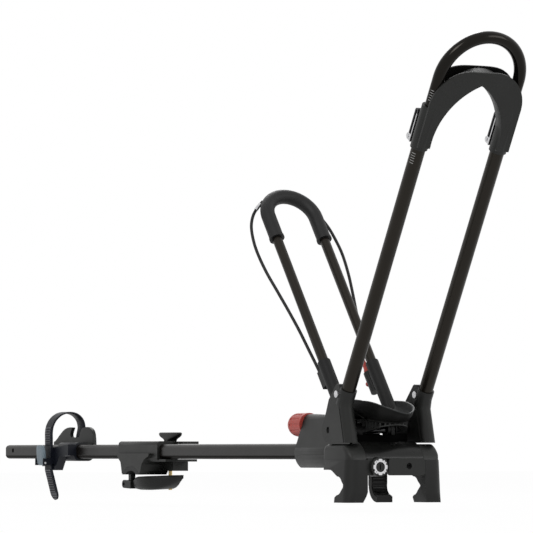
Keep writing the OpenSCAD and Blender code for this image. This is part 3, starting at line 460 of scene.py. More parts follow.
def skin(name, loops, pale=None):
    """A closed mesh through loops of points; pale(row, strip) picks the strips of the second finish."""
    bm = bmesh.new()
    for face, row, k in join_loops(bm, loops):
        face.smooth = True
        face.material_index = 1 if pale and pale(row, k) else 0
    return closed_mesh(name, bm)


def mesh_of(name, bm):
    """Turns a bmesh into a mesh."""
    mesh = bpy.data.meshes.new(name)
    bm.to_mesh(mesh)
    bm.free()
    return mesh


def closed_mesh(name, bm):
    """Turns a closed bmesh into a mesh with its faces outward and its corners crisp."""
    bmesh.ops.recalc_face_normals(bm, faces=bm.faces)
    mesh = mesh_of(name, bm)
    mesh.set_sharp_from_angle(angle=radians(42))
    return mesh


def tube_mesh(name, line, radius, sides):
    """A closed round tube along a line of points."""
    loops = []
    side = Vector((0.0, 1.0, 0.0))
    for i, point in enumerate(line):
        ahead = heading(line, i)
        side = (side - ahead * side.dot(ahead)).normalized()
        across = ahead.cross(side)
        turns = [2 * pi * k / sides for k in range(sides)]
        loops.append([point + radius * (cos(turn) * side + sin(turn) * across) for turn in turns])
    return skin(name, loops)


def pillow_loop(centre, half_long, half_wide, squareness, turn=0.0, count=36):
    """A level loop between an ellipse and a rectangle, in metres from millimetres."""
    loop = []
    for k in range(count):
        angle = 2 * pi * k / count
        x = half_long * copysign(abs(cos(angle)) ** (2 / squareness), cos(angle))
        y = half_wide * copysign(abs(sin(angle)) ** (2 / squareness), sin(angle))
        loop.append(mm(
            centre[0] + x * cos(turn) - y * sin(turn),
            centre[1] + x * sin(turn) + y * cos(turn),
            centre[2],
        ))
    return loop


def bar(bm, place, levels, first, second, ease=0.0002):
    """A solid bar with eased edges: at each of two levels the corners of two spans, put in place by a function."""
    pairs = ((0, 0), (1, 0), (1, 1), (0, 1))
    corners = [bm.verts.new(place(level, first[i], second[k])) for level in levels for i, k in pairs]
    sides = ((3, 2, 1, 0), (4, 5, 6, 7), (0, 1, 5, 4), (1, 2, 6, 5), (2, 3, 7, 6), (3, 0, 4, 7))
    faces = [bm.faces.new([corners[k] for k in side]) for side in sides]
    edges = list(dict.fromkeys(edge for face in faces for edge in face.edges))
    bmesh.ops.bevel(bm, geom=edges, offset=ease, segments=2, affect="EDGES", profile=0.5)


def block(bm, low, high, ease=0.0002):
    """A solid bar between two corners in millimetres."""
    x, y, z = zip(low, high)
    bar(bm, lambda height, along, side: mm(along, side, height), z, x, y, ease)


class Finish:
    """Builds one node material."""

    def __init__(self, name):
        self.material = bpy.data.materials.new(name)
        self.material.use_nodes = True
        self.tree = self.material.node_tree
        self.shader = self.tree.nodes["Principled BSDF"]

    def node(self, kind, **values):
        """A new node with values on its sockets."""
        made = self.tree.nodes.new(kind)
        for key, value in values.items():
            made.inputs[key].default_value = value
        return made

    def place(self, kind="Object"):
        """Places, or normals, on the surface."""
        return self.node("ShaderNodeTexCoord").outputs[kind]

    def link(self, output, target):
        """Joins an output to a socket."""
        self.tree.links.new(output, target)

    def set(self, values):
        """Plain values on the shader."""
        for key, value in values.items():
            self.shader.inputs[key].default_value = value
        return self

    def noise(self, size, detail=3.0, stretch=None):
        """Noise whose grain is about size metres."""
        made = self.node("ShaderNodeTexNoise", Scale=1.0 / size, Detail=detail, Roughness=0.55)
        place = self.place()
        if stretch:
            mapped = self.node("ShaderNodeMapping", Scale=stretch)
            self.link(place, mapped.inputs["Vector"])
            place = mapped.outputs["Vector"]
        self.link(place, made.inputs["Vector"])
        return made.outputs["Fac"]

    def ramp(self, factor, low, high, first, second):
        """A ramp between two colours."""
        made = self.node("ShaderNodeValToRGB")
        for stop, position, colour in zip(made.color_ramp.elements, (low, high), (first, second)):
            stop.position = position
            stop.color = (*colour, 1.0)
        self.link(factor, made.inputs["Fac"])
        return made.outputs["Color"]

    def remap(self, value, start, end, low=0.0, high=1.0):
        """A stretch of values mapped to another."""
        made = self.node("ShaderNodeMapRange", **{"From Min": start, "From Max": end, "To Min": low, "To Max": high})
        self.link(value, made.inputs["Value"])
        return made.outputs["Result"]

    def part_of(self, vector, axis):
        """One part of a vector."""
        split = self.node("ShaderNodeSeparateXYZ")
        self.link(vector, split.inputs["Vector"])
        return split.outputs[axis]

    def mottle(self, colour, size, spread):
        """Colour that drifts a little over the surface."""
        dark = [c * (1.0 - spread) for c in colour]
        light = [min(c * (1.0 + spread), 1.0) for c in colour]
        self.link(self.ramp(self.noise(size), 0.35, 0.65, dark, light), self.shader.inputs["Base Color"])

    def gloss(self, size, low, high, stretch=None):
        """Roughness that drifts between two values."""
        drift = self.remap(self.noise(size, stretch=stretch), 0.3, 0.7, low, high)
        self.link(drift, self.shader.inputs["Roughness"])
        return self

    def painted_shade_below(self, slope, sheen):
        """Painted shade: less sheen where a face looks down, standing in for the shade under it."""
        level = self.remap(self.part_of(self.place("Normal"), "Z"), *slope, *sheen)
        self.link(level, self.shader.inputs["Specular IOR Level"])

    def side_colours(self, reach, first, second):
        """One colour on the near side that turns into another on the far side."""
        share = self.remap(self.part_of(self.place(), "Y"), *reach)
        self.link(self.ramp(share, 0.1, 0.9, first, second), self.shader.inputs["Base Color"])

    def bump(self, size, strength, depth=0.0001):
        """A fine grain on the surface."""
        made = self.node("ShaderNodeBump", Strength=strength, Distance=depth)
        self.link(self.noise(size, detail=2.0), made.inputs["Height"])
        self.link(made.outputs["Normal"], self.shader.inputs["Normal"])
        return self


def make_finishes(colours):
    """All finishes of the carrier by name."""
    made = {}
    for name, (colour, sheen, mottle, gloss, bump) in FINISH_TABLE.items():
        finish = Finish(name + "_finish").set(FINISH_EXTRAS.get(name, {}))
        finish.set({"IOR": sheen[0], "Specular IOR Level": sheen[1]} if sheen else {"Metallic": 1.0})
        if isinstance(colour, str):
            colour = getattr(colours, colour)
        elif isinstance(colour[0], str):
            key, times, lift = colour
            colour = [min(times * c + lift, 1.0) for c in getattr(colours, key)]
        if mottle:
            finish.mottle(colour, *mottle)
        made[name] = finish.gloss(*gloss).bump(*bump)
    # Painted shade on the tray tube's underside
    made["tray_coat"].painted_shade_below(TRAY_SHADE_SLOPE, TRAY_SHEEN)
    made["saddle_mould"].side_colours(SADDLE_SPLIT, colours.strap, colours.grey)
    return {name: finish.material for name, finish in made.items()}


# Solids whose look differs from their slot's usual finish
SPECIAL = {
    "front_hood": "hood_gloss",
    "tray_tube": "tray_coat",
    "clamp_screw": "black_steel",
    "wheel_saddle": "saddle_mould",
}

FINISHES = {}
SLOT_OF = {part["node"]: part["material_slot"] for part in frame["record"]["subparts"]}


def finish_of(name):
    """The material of a finish; all are made on first use."""
    if not FINISHES:
        FINISHES.update(make_finishes(bpy.context.scene.carrier_colours))
    return FINISHES[name]


def dress(slots):
    """Gives every solid of the named slots its finish."""
    nodes = [node for node, slot in SLOT_OF.items() if slot in slots]
    if not nodes:
        raise RuntimeError("no solid has a slot named " + ", ".join(slots))
    for node in nodes:
        solid = frame["nodes"][node]
        solid.data.materials.clear()
        solid.data.materials.append(finish_of(SPECIAL.get(node, SLOT_OF[node])))


def round_edges(names, width):
    """Rounds the sharp edges of solids and gives the rounds a paler painted highlight, except on the plain edged
    ones.
    """
    for name in names:
        solid = frame["nodes"][name]
        weld = solid.modifiers.new("edge_join", "WELD")
        weld.merge_threshold = 0.00001
        bevel = add_bevel(solid, "edge_round", width, 38)
        bevel.harden_normals = True
        bevel.use_clamp_overlap = True
        # Painted highlight: the rounds take a paler finish
        if name not in PLAIN_EDGED:
            solid.data.materials.append(finish_of(SLOT_OF[name] + "_rubbed"))
            bevel.material = 1


class CARRIER_OT_stage(bpy.types.Operator):
    """Sets the camera, the lamps, the floor and the backdrop"""

    bl_idname = "carrier.stage"
    bl_label = "Stage"

    def execute(self, context):
        stage = context.scene.carrier_stage
        context.scene.view_settings.view_transform = "Standard"
        self.camera(context, stage)
        for row in LAMPS:
            self.lamp(*row)
        self.world(context)
        self.floor(stage)
        return {"FINISHED"}

    def camera(self, context, stage):
        """Camera at the photograph's angle."""
        data = bpy.data.cameras.new("carrier_camera")
        data.lens = stage.lens
        data.sensor_width = 36.0
        data.clip_end = 50.0
        camera = link_object("carrier_camera", data)
        flat = cos(stage.elevation)
        back = Vector((sin(stage.azimuth) * flat, -cos(stage.azimuth) * flat, sin(stage.elevation)))
        camera.location = Vector(stage.target) + back * stage.distance
        camera.rotation_euler = back.to_track_quat("Z", "Y").to_euler()
        context.scene.camera = camera

    def lamp(self, name, place, size, power):
        """A soft square lamp aimed at the carrier."""
        data = bpy.data.lights.new(name, "AREA")
        data.size = size
        data.energy = power
        lamp = link_object(name, data)
        lamp.location = place
        aim = Vector(place) - Vector(LAMP_AIM)
        lamp.rotation_euler = aim.to_track_quat("Z", "Y").to_euler()

    def seen(self, tree):
        """One where the camera, a mirror or glass looks."""
        path = tree.nodes.new("ShaderNodeLightPath")
        share = path.outputs["Is Camera Ray"]
        for ray in ("Is Glossy Ray", "Is Transmission Ray"):
            most = tree.nodes.new("ShaderNodeMath")
            most.operation = "MAXIMUM"
            tree.links.new(share, most.inputs[0])
            tree.links.new(path.outputs[ray], most.inputs[1])
            share = most.outputs[0]
        return share

    def world(self, context):
        """White backdrop, with plain light on the carrier."""
        world = bpy.data.worlds.new("white_room")
        world.use_nodes = True
        tree = world.node_tree
        background = tree.nodes["Background"]
        background.inputs["Color"].default_value = (1.0, 1.0, 1.0, 1.0)
        strength = tree.nodes.new("ShaderNodeMapRange")
        strength.inputs["To Min"].default_value, strength.inputs["To Max"].default_value = ROOM_LIGHT
        tree.links.new(self.seen(tree), strength.inputs["Value"])
        tree.links.new(strength.outputs["Result"], background.inputs["Strength"])
        context.scene.world = world

    def floor(self, stage):
        """A pale floor that still takes a soft shadow."""
        bm = bmesh.new()
        bmesh.ops.create_grid(bm, x_segments=1, y_segments=1, size=FLOOR_HALF)
        floor = link_object("pale_floor", mesh_of("pale_floor", bm))
        floor.location = (0.0, 0.0, stage.floor)
        finish = Finish("pale_floor").set({"Base Color": (0.85, 0.85, 0.85, 1.0), "Roughness": 0.9})
        glow = finish.node("ShaderNodeEmission", Color=(1.0, 1.0, 1.0, 1.0))
        share = finish.node("ShaderNodeMath")
        share.operation = "MULTIPLY"
        share.inputs[1].default_value = FLOOR_GLOW
        finish.link(self.seen(finish.tree), share.inputs[0])
        mix = finish.node("ShaderNodeMixShader")
        finish.link(share.outputs[0], mix.inputs["Fac"])
        finish.link(finish.shader.outputs["BSDF"], mix.inputs[1])
        finish.link(glow.outputs["Emission"], mix.inputs[2])
        finish.link(mix.outputs["Shader"], finish.tree.nodes["Material Output"].inputs["Surface"])
        floor.data.materials.append(finish.material)


class CARRIER_OT_lock_cable(bpy.types.Operator):
    """Bows the covered lock cable out on both sides of the small hoop"""

    bl_idname = "carrier.lock_cable"
    bl_label = "Lock cable"

    def execute(self, context):
        diameter = context.scene.carrier_sizes.cable
        for name, side, lower in CABLE_SIDES:
            route = [hoop_point((x, side * y, z), SMALL_LEAN) for x, y, z in CABLE_TOP + lower]
            line = smooth_line(route, 6)
            mesh = tube_mesh("lock_cable_" + name, line, diameter / 2, 14)
            cable = add_piece("lock_cable_" + name, mesh, "cradle", "black_rubber")
            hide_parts("cable_" + name)
            sleeve = tube_mesh("cable_ferrule_" + name, line[3:9], 0.66 * diameter, 18)
            ferrule = add_piece("cable_ferrule_" + name, sleeve, "cradle", "bright_steel")
            add_bevel(ferrule, "rolled_lip", 0.0006, 50)
            for piece in (ferrule, cable):
                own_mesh(piece)
        return {"FINISHED"}


class CARRIER_OT_tubes(bpy.types.Operator):
    """Coats the hoop, arch and tray tubes"""

    bl_idname = "carrier.tubes"
    bl_label = "Coated tubes"

    def execute(self, context):
        dress(("powder_coat", "gloss_coat"))
        return {"FINISHED"}


class CARRIER_OT_mouldings(bpy.types.Operator):
    """Finishes the moulded covers, feet, brackets and castings"""

    bl_idname = "carrier.mouldings"
    bl_label = "Mouldings"

    def execute(self, context):
        dress(("grey_mould", "black_mould", "cast_base", "red_plastic"))
        round_edges(CORNERED, context.scene.carrier_sizes.edge)
        return {"FINISHED"}


class CARRIER_OT_hardware(bpy.types.Operator):
    """Plates the bolts, latches, pins and the lock ring"""

    bl_idname = "carrier.hardware"
    bl_label = "Hardware"

    def execute(self, context):
        dress(("bright_steel", "black_steel", "bezel_chrome", "brass_bolt"))
        return {"FINISHED"}


class CARRIER_OT_soft_parts(bpy.types.Operator):
    """Finishes the grip, the pads, the strap and its buckle"""

    bl_idname = "carrier.soft_parts"
    bl_label = "Grip, pads and strap"

    def execute(self, context):
        dress(("black_rubber", "strap_plastic", "buckle_plastic"))
        return {"FINISHED"}


def strap_centreline(step):
    """Side and height along the middle of the strap, from its anchor over the wheel to its tip."""
    corners = smooth_line([Vector(point) for point in STRAP_ROUTE], 10)
    corners.append(corners[-1] + Vector(STRAP_TAIL).normalized() * (TAIL_LENGTH + STRAP_TIP_ROUND))
    line = []
    left = 0.0
    for start, end in zip(corners, corners[1:]):
        run = (end - start).length
        while left < run:
            line.append(start.lerp(end, left / run))
            left += step
        left -= run
    return line


class CARRIER_OT_ladder_strap(bpy.types.Operator):
    """Moulds the toothed wheel strap in the solid's place"""

    bl_idname = "carrier.ladder_strap"
    bl_label = "Ladder strap"

    def execute(self, context):
        step = TOOTH_PITCH / 4
        line = strap_centreline(step)
        loops = [self.ring(line, i, step) for i in range(len(line))]
        # The tops of the teeth take a paler finish, a painted highlight
        mesh = skin("ladder_strap", loops, lambda row, k: k == TOOTH_STRIP and self.tooth(row, line[row]) > 0)
        strap = add_piece("ladder_strap", mesh, "wheel_holder", "strap_plastic")
        mesh.materials.append(finish_of("strap_worn"))
        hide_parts("strap")
        return {"FINISHED"}

    def tooth(self, i, place):
        """How far the ladder stands proud at a step along the strap."""
        toothed = place.x < 0 and place.y < TOOTH_TOP and not BUCKLE_REACH[0] < place.y < BUCKLE_REACH[1]
        return TOOTH_RISE if toothed and i % 4 < 2 else 0.0

    def ring(self, line, i, step):
        """One section across the strap."""
        place = line[i]
        ahead = heading(line, i)
        out = Vector((ahead.y, -ahead.x))
        past = STRAP_TIP_ROUND - (len(line) - 1 - i) * step
        share = sqrt(max(1.0 - (past / STRAP_TIP_ROUND) ** 2, 0.02)) if past > 0 else 1.0
        wide = STRAP_WIDE / 2 * share
        half = STRAP_THICK / 2
        rise = half + (self.tooth(i, place) if past < 0 else 0.0)
        steps = ((0.0, 0.5 - half), (0.0, half - 0.5), (0.6, half), (3.0, half), (3.3, rise))
        left = [(inset * share - wide, h) for inset, h in steps]
        foot = wide - 0.6 * share
        section = left + [(-x, h) for x, h in reversed(left)] + [(foot, -half), (-foot, -half)]
        return [mm(STRAP_X + x, place.x + h * out.x, place.y + h * out.y) for x, h in section]


class CARRIER_OT_rubber_ribs(bpy.types.Operator):
    """Stands ribs on the front jaw's rubber face"""

    bl_idname = "carrier.rubber_ribs"
    bl_label = "Jaw ribs"

    def execute(self, context):
        bm = bmesh.new()
        for turn in RIB_TURNS:
            self.jaw_rib(bm, radians(turn))
        for height in RIB_HEIGHTS:
            block(bm, (-17.0, -RIB_HALF, height - 1.2), (-15.4, RIB_HALF, height + 1.2))
        # The ribs take the paler painted highlight finish, so they seem to catch light
        add_bars("jaw_ribs", bm, "clamp_jaw", "black_rubber", "black_mould_rubbed")
        return {"FINISHED"}

    def jaw_rib(self, bm, turn):
        """One rib across the hollow of the jaw, clear of the bar."""
        def place(reach, side, lean):
            return mm(reach * cos(turn + lean), side, reach * sin(turn + lean))

        bar(bm, place, (JAW_FACE + 0.3, JAW_FACE - 0.8), (-RIB_HALF, RIB_HALF), (-RIB_LEAN, RIB_LEAN))


class CARRIER_OT_front_covers(bpy.types.Operator):
    """Rounds the two shoulder caps into the hood, paints shade into the lock ring's notches with dark bars and puts a
    black plate of painted shade under the cradle
    """

    bl_idname = "carrier.front_covers"
    bl_label = "Front covers"

    def execute(self, context):
        for name, side in (("near", -1.0), ("far", 1.0)):
            loops = [self.cap_loop(side * y, inset) for y, inset in self.stations()]
            cap = add_shell("shoulder_cap_" + name, loops, "base_unit", "grey_mould")
            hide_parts(name + "_cap")
            loops = [self.foot_loop(side, depth) for depth in self.foot_depths()]
            foot = add_shell("foot_shell_" + name, loops, "base_unit", "black_mould")
            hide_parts(name + "_foot")
        # Dark bars in the lock ring's notches are painted shade
        bm = bmesh.new()
        for k in range(NOTCH_COUNT):
            self.notch(bm, 2 * pi * (k + 0.5) / NOTCH_COUNT)
        add_bars("ring_notches", bm, "base_unit", "black_mould")
        # A black plate of painted shade under the cradle, where the space is dark
        bm = bmesh.new()
        block(bm, *SHADE_PLATE, 0.0006)
        add_bars("mud_shield", bm, "base_unit", "cast_base", "shade_black")
        return {"FINISHED"}

    def stations(self):
        """Sides of a cap from the hood out, each with how far its outline draws in."""
        rounded = arc((CAP_SIDE - CAP_ROUND, CAP_ROUND), CAP_ROUND, -90, 0, 6)
        return [(FOOT_IN, 0.0), (58.0, 0.0), (66.0, 0.0), *rounded]

    def foot_depths(self):
        """How far each section of a foot lies in from its outer face."""
        rounded = [FOOT_ROUND * (1 - sin(radians(7.5 * k))) for k in range(13)]
        return [FOOT_DEPTH, 28.0, 23.0, *rounded]

    def front_limit(self, depth):
        """The foremost place on a shoulder or foot, this far in from its outer face."""
        if depth >= FOOT_ROUND:
            return FOOT_FRONT
        return FOOT_FRONT - FOOT_ROUND + sqrt(FOOT_ROUND ** 2 - (FOOT_ROUND - depth) ** 2)

    def foot_loop(self, side, depth):
        """Outline of a foot, with the bar's hollow behind, at one depth."""
        front = self.front_limit(depth)
        rear = FOOT_BACK + max(FOOT_REAR_ROUND - depth, 0.0) ** 2 / FOOT_REAR_ROUND
        loop = []
        for x, z in self.foot_outline():
            outer = FOOT_OUT + FOOT_FLARE * (FOOT_TOP - z) / FOOT_HEIGHT
            inner = FOOT_IN + FOOT_TUCK * max(TUCK_FROM - z, 0.0) / TUCK_HEIGHT
            y = inner + (outer - inner) * (FOOT_DEPTH - depth) / FOOT_DEPTH
            loop.append(mm(min(max(x, rear), front), side * y, z))
        return loop

    def foot_outline(self):
        """Side view of a foot, in millimetres."""
        points = [(FOOT_FRONT, FOOT_TOP), (-8.0, FOOT_TOP), (FOOT_BACK, FOOT_TOP), (FOOT_BACK, 34.5)]
        points += arc((-42.0, 34.5), 10.0, 180, 270, 8)[1:]
        points += [(-28.0, 24.6), (-22.0, 24.2), (-17.0, 22.4), (-8.0, 17.7)]
        points += arc((0.0, 0.0), BAR_ROUND, 94.8, 31.0, 8)
        points += [(18.6, 2.2), (20.4, 0.6), (20.4, -0.6), (18.6, -2.2)]
        points += arc((0.0, 0.0), BAR_ROUND, -33.9, -89.8, 8)
        points += [(-5.6, -17.2), (-6.8, -18.6), (-7.4, -26.0), (31.0, -26.0), (34.6, -17.0), (FOOT_FRONT, -10.0)]
        return points

    def cap_loop(self, y, inset):
        """Outline of a cap: a round rear corner, a level top and the hood's curve in front."""
        points = [(FOOT_BACK + inset, FOOT_TOP), *arc(CAP_CORNER, CAP_CORNER_ROUND - inset, 180, 90, 8)]
        reach = HOOD_ROUND - inset
        rises = (CAP_CORNER[1] + CAP_CORNER_ROUND - inset - HOOD_MIDDLE[1], FOOT_TOP - HOOD_MIDDLE[1])
        points += arc(HOOD_MIDDLE, reach, *[degrees(asin(rise / reach)) for rise in rises], 14)
        front = self.front_limit(CAP_SIDE - abs(y))
        return [mm(min(x, front), y, z) for x, z in points]

    def notch(self, bm, turn):
        """One notch in the lock ring's face, a dark bar of painted shade."""
        def place(x, reach, lean):
            side, height = LOCK_PLACE
            return mm(x, side + reach * cos(turn + lean), height + reach * sin(turn + lean))

        bar(bm, place, NOTCH_FACES, NOTCH_REACH, (-NOTCH_LEAN, NOTCH_LEAN))


class CARRIER_OT_cradle_bowl(bpy.types.Operator):
    """Draws the wheel dish with the boat-shaped bowl in front of it and the fins under it"""

    bl_idname = "carrier.cradle_bowl"
    bl_label = "Cradle bowl"

    def execute(self, context):
        rim = self.both_sides(BOWL_RIM)
        keel = self.both_sides(BOWL_KEEL)
        loops = [self.section(rim, keel, i) for i in range(len(rim))]
        # Painted light: the bowl's outside strips take a dark finish, its inside and rim a pale one
        mesh = skin("cradle_bowl", loops, lambda row, k: k >= OUTER_STRIPS)
        add_piece("cradle_bowl", mesh, "cradle", "grey_mould", "bowl_side")
        mesh.materials.append(finish_of("bowl_inside"))
        plan = self.level_cut(rim, keel, FLOOR_CUT)
        floor = [[mm(point.x, point.y, z) for point in plan] for z in BOWL_FLOOR]
        add_shell("bowl_floor", floor, "cradle", "grey_mould", "black_mould")
        self.draw_fins(keel)
        self.draw_dish()
        return {"FINISHED"}

    def draw_fins(self, keel):
        """Upright fins under the bowl's wall, joined below by a band that climbs to the nose."""
        spots = [i for i, place in enumerate(keel) if place.x > FIN_START]
        bm = bmesh.new()
        band = []
        last = None
        for i in spots:
            place = keel[i]
            out = self.outward(keel, i)
            low = FIN_LOW + (place.x - FIN_START) * FIN_CLIMB
            band.append([self.beside(place, out * reach, low + rise) for reach, rise in (
                (-BAND_DEPTH, 0.0), (0.6, 0.0), (1.0, 0.6), (1.0, 1.4), (0.6, 2.0), (-BAND_DEPTH, 2.0)
            )])
            if last is None or (place - last).length >= FIN_PITCH:
                last = place
                self.fin(bm, place, out, low + 0.5)
        add_shell("fin_band", band, "cradle", "grey_mould", "bowl_rib")
        add_bars("bowl_fins", bm, "cradle", "grey_mould", "bowl_rib")

    def fin(self, bm, place, out, low):
        """One upright fin from the band to the bowl's lower edge."""
        along = Vector((out.y, -out.x, 0.0))

        def corner(z, reach, step):
            return self.beside(place, out * reach + along * step, z)

        bar(bm, corner, (low, place.z + 0.5), (-FIN_DEPTH, 0.3), (-FIN_HALF, FIN_HALF))

    def beside(self, place, step, z):
        """A place beside the bowl's lower edge, at one height."""
        return mm(place.x + step.x, place.y + step.y, z)

    def draw_dish(self):
        """The dish behind the bowl: a floor, a wall that climbs to the back, and ribs below."""
        outer = self.dish_plan(DISH_OUT)
        inner = self.dish_plan(DISH_OUT - DISH_WALL)
        foot = DISH_FLOOR + 0.4
        walls = []
        for out, near in zip(outer, inner):
            heights = (foot, self.wall_top(out[0]), self.wall_top(near[0]), foot)
            walls.append([mm(*place, z) for place, z in zip((out, out, near, near), heights)])
        add_shell("dish_wall", walls, "cradle", "grey_mould", "black_mould")
        floor = [[mm(*place, z) for place in outer] for z in (DISH_FLOOR, DISH_FLOOR + 4.0)]
        dish = add_shell("dish_floor", floor, "cradle", "grey_mould", "black_mould")
        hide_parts("wheel_dish")
        bm = bmesh.new()
        for y in range(-25, 26, 10):
            block(bm, (-75.0, y - 1.5, 89.0), (-53.0, y + 1.5, foot))
        block(bm, (-60.0, -25.1, 77.0), (-57.5, 25.1, foot))
        block(bm, (-75.0, -28.0, 87.0), (-55.0, 28.0, 89.5))
        add_bars("dish_ribs", bm, "cradle", "grey_mould", "black_mould")

    def dish_plan(self, radius):
        """The dish from above: straight sides joined by a half circle at the back."""
        points = [(x, -radius) for x in (0.0, -19.0, -38.0)]
        points += arc((DISH_BACK, 0.0), radius, 270, 90, 12)
        return points + [(x, radius) for x in (-38.0, -19.0, 0.0)]

    def wall_top(self, x):
        """Height of the dish's wall at one place along it."""
        for (x_low, low), (x_high, high) in zip(DISH_PROFILE, DISH_PROFILE[1:]):
            if x <= x_high:
                return DISH_FLOOR + low + (high - low) * (x - x_low) / (x_high - x_low)
        return DISH_FLOOR + DISH_PROFILE[-1][1]

    def both_sides(self, places):
        """A smooth line through places on the near side and then their likes on the far side."""
        near = [Vector((x, -y, z)) for x, y, z in places]
        far = [Vector(place) for place in reversed(places[:-1])]
        return smooth_line(near + far, 6)

    def level_cut(self, rim, keel, z):
        """The bowl's outline at one height, a little inside its wall."""
        plan = []
        for i, (top, low) in enumerate(zip(rim, keel)):
            if low.z < z and top.x > -2.0:
                place = low.lerp(top, (z - low.z) / (top.z - low.z))
                plan.append(place - self.outward(rim, i) * 0.8)
        return plan

    def outward(self, line, i):
        """Level direction away from the bowl."""
        ahead = heading(line, i)
        return Vector((ahead.y, -ahead.x, 0.0)).normalized()

    def section(self, rim, keel, i):
        """Closed outline of the wall: a lip below, a bulging side and a rolled rim above."""
        top = rim[i]
        low = keel[i]
        out = self.outward(rim, i)
        sides = [(low.lerp(top, k / 6), BOWL_BULGE * sin(pi * k / 6)) for k in range(1, 6)]
        lip = ((-BOWL_THICK, 0.4), (-1.0, -1.0), (1.2, -0.8), (1.6, 0.4), (0.9, 1.4))
        roll = ((0.7, -1.8), (1.3, -0.9), (0.8, 0.0), (-0.8, 0.0), (-1.8, -0.9))
        rows = [(low, reach, lift) for reach, lift in lip]
        rows += [(place, 0.5 + bulge, 0.0) for place, bulge in sides]
        rows += [(top, reach, lift) for reach, lift in roll]
        rows += [(place, bulge - BOWL_THICK, 0.0) for place, bulge in reversed(sides)]
        return [(place + out * reach + Vector((0.0, 0.0, lift))) * MM for place, reach, lift in rows]


class CARRIER_OT_hand_pieces(bpy.types.Operator):
    """Shapes the rear clamp's wing knob and jaw, the strap's lever and the saddle's horn"""

    bl_idname = "carrier.hand_pieces"
    bl_label = "Knob, jaw, lever and horn"

    def execute(self, context):
        loops = [pillow_loop((*KNOB_PLACE, z), long, wide, KNOB_SQUARE, KNOB_TURN) for z, long, wide in KNOB_ROWS]
        knob = add_shell("flared_knob", loops, "bar_knob", "black_mould")
        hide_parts("wing_knob")
        loops = [pillow_loop((STRAP_X, y, z), wide, thick, LEVER_SQUARE) for z, y, thick, wide in LEVER_ROWS]
        lever = add_shell("buckle_shell", loops, "strap_lever", "buckle_plastic")
        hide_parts("buckle_lever")
        loops = [self.jaw_loop(*row) for row in JAW_ROWS]
        jaw = add_shell("jaw_boat", loops, "bar_jaw", "black_mould")
        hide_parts("rear_jaw")
        for name, sides in JAW_EYES:
            loops = [self.eye_loop(y) for y in sides]
            add_shell("jaw_eye_" + name, loops, "bar_jaw", "black_mould")
        loops = [[mm(STRAP_X + x, y, z) for x, z in HORN_OUTLINE] for y in HORN_SIDES]
        horn = add_shell("saddle_horn", loops, "wheel_holder", "grey_mould")
        add_bevel(horn, "edge_round", 0.0008, 60)
        return {"FINISHED"}

    def jaw_loop(self, x, side, low, high):
        """Section of the jaw's boat-shaped body."""
        tall = high - low
        places = [(JAW_FAR, high), (JAW_FAR, low + 0.3 * tall), (JAW_FAR - 2.5, low + 0.06 * tall)]
        places.append((side + 11.0, low))
        for reach, rise in ((5.0, 0.06), (1.6, 0.24), (0.2, 0.55), (0.3, 0.92), (1.4, 1.0)):
            places.append((side + reach, low + rise * tall))
        return [mm(x, min(y, JAW_FAR), z) for y, z in places]

    def eye_loop(self, y):
        """The jaw's hinge eye, with its arm."""
        return [mm(x, y, z) for x, z in (*arc(JAW_HINGE, JAW_EYE_ROUND, 90, 270, 12), *JAW_ARM)]


class CARRIER_OT_bridge_back(bpy.types.Operator):
    """Closes the bridge cover behind the sliding arch"""

    bl_idname = "carrier.bridge_back"
    bl_label = "Bridge back"

    def execute(self, context):
        sides = range(-BACK_HALF, BACK_HALF + 1, 6)
        outline = [(y, BACK_TOP - BACK_FALL * (abs(y) / BACK_HALF) ** 4) for y in sides]
        loops = [[hoop_point((x, y, z)) for y, z in (*outline, *BACK_FOOT)] for x in BACK_FACES]
        # The wall takes the dark finish of painted shade
        add_shell("bridge_back", loops, "wheel_hoop", "black_mould", "bowl_side")
        return {"FINISHED"}


class CARRIER_OT_tick_marks(bpy.types.Operator):
    """Prints plain setting marks on the near leg and the near end of the arch"""

    bl_idname = "carrier.tick_marks"
    bl_label = "Tick marks"

    def execute(self, context):
        for body, along, radius, count in TICKS:
            bm = bmesh.new()
            for k in range(count):
                self.mark(bm, along + TICK_PITCH * k, radius)
            name = "tick_marks_" + body
            add_piece(name, mesh_of(name, bm), body, "bright_steel", "tick_ink")
        return {"FINISHED"}

    def mark(self, bm, along, radius):
        """One thin curved bar on the outer front of the near tube."""
        middle = (LEG_SHIFT, -HOOP_HALF)
        edges = [
            [hoop_point((*place, along + rise)) for place in arc(middle, radius + lift, *MARK_TURNS, 6)]
            for lift, rise in MARK_CORNERS
        ]
        join_loops(bm, list(zip(*edges)))
        bmesh.ops.recalc_face_normals(bm, faces=bm.faces)


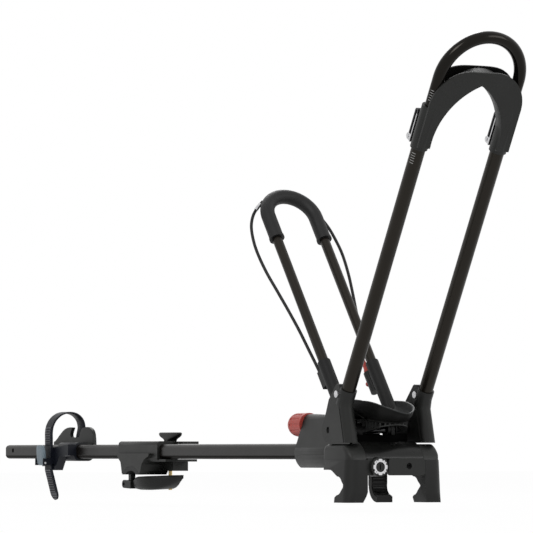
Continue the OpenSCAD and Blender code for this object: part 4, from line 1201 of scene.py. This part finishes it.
STEPS = (
    CARRIER_OT_stage,
    CARRIER_OT_lock_cable,
    CARRIER_OT_tubes,
    CARRIER_OT_mouldings,
    CARRIER_OT_hardware,
    CARRIER_OT_soft_parts,
    CARRIER_OT_ladder_strap,
    CARRIER_OT_rubber_ribs,
    CARRIER_OT_front_covers,
    CARRIER_OT_cradle_bowl,
    CARRIER_OT_hand_pieces,
    CARRIER_OT_bridge_back,
    CARRIER_OT_tick_marks,
)


class CARRIER_PT_panel(bpy.types.Panel):
    """Lists the carrier's steps"""

    bl_idname = "CARRIER_PT_panel"
    bl_label = "Carrier"
    bl_space_type = "VIEW_3D"
    bl_region_type = "UI"
    bl_category = "Carrier"

    def draw(self, context):
        for step in STEPS:
            self.layout.operator(step.bl_idname)
        for name in GROUPS:
            group = getattr(context.scene, name)
            for key in group.bl_rna.properties.keys():
                if key not in ("rna_type", "name"):
                    self.layout.prop(group, key)


GROUPS = {"carrier_colours": CarrierColours, "carrier_sizes": CarrierSizes, "carrier_stage": CarrierStage}
CLASSES = (*GROUPS.values(), *STEPS, CARRIER_PT_panel)


def register():
    """Adds the classes and the scene's settings."""
    for made in CLASSES:
        bpy.utils.register_class(made)
    for name, group in GROUPS.items():
        setattr(bpy.types.Scene, name, bpy.props.PointerProperty(type=group))


def unregister():
    """Takes them away again."""
    for name in GROUPS:
        delattr(bpy.types.Scene, name)
    for made in reversed(CLASSES):
        bpy.utils.unregister_class(made)


def main():
    """Dresses the carrier."""
    register()
    bpy.ops.carrier.stage()
    bpy.ops.carrier.lock_cable()
    bpy.ops.carrier.tubes()
    bpy.ops.carrier.mouldings()
    bpy.ops.carrier.hardware()
    bpy.ops.carrier.soft_parts()
    bpy.ops.carrier.ladder_strap()
    bpy.ops.carrier.rubber_ribs()
    bpy.ops.carrier.front_covers()
    bpy.ops.carrier.cradle_bowl()
    bpy.ops.carrier.hand_pieces()
    bpy.ops.carrier.bridge_back()
    bpy.ops.carrier.tick_marks()


if __name__ == "__main__":
    main()
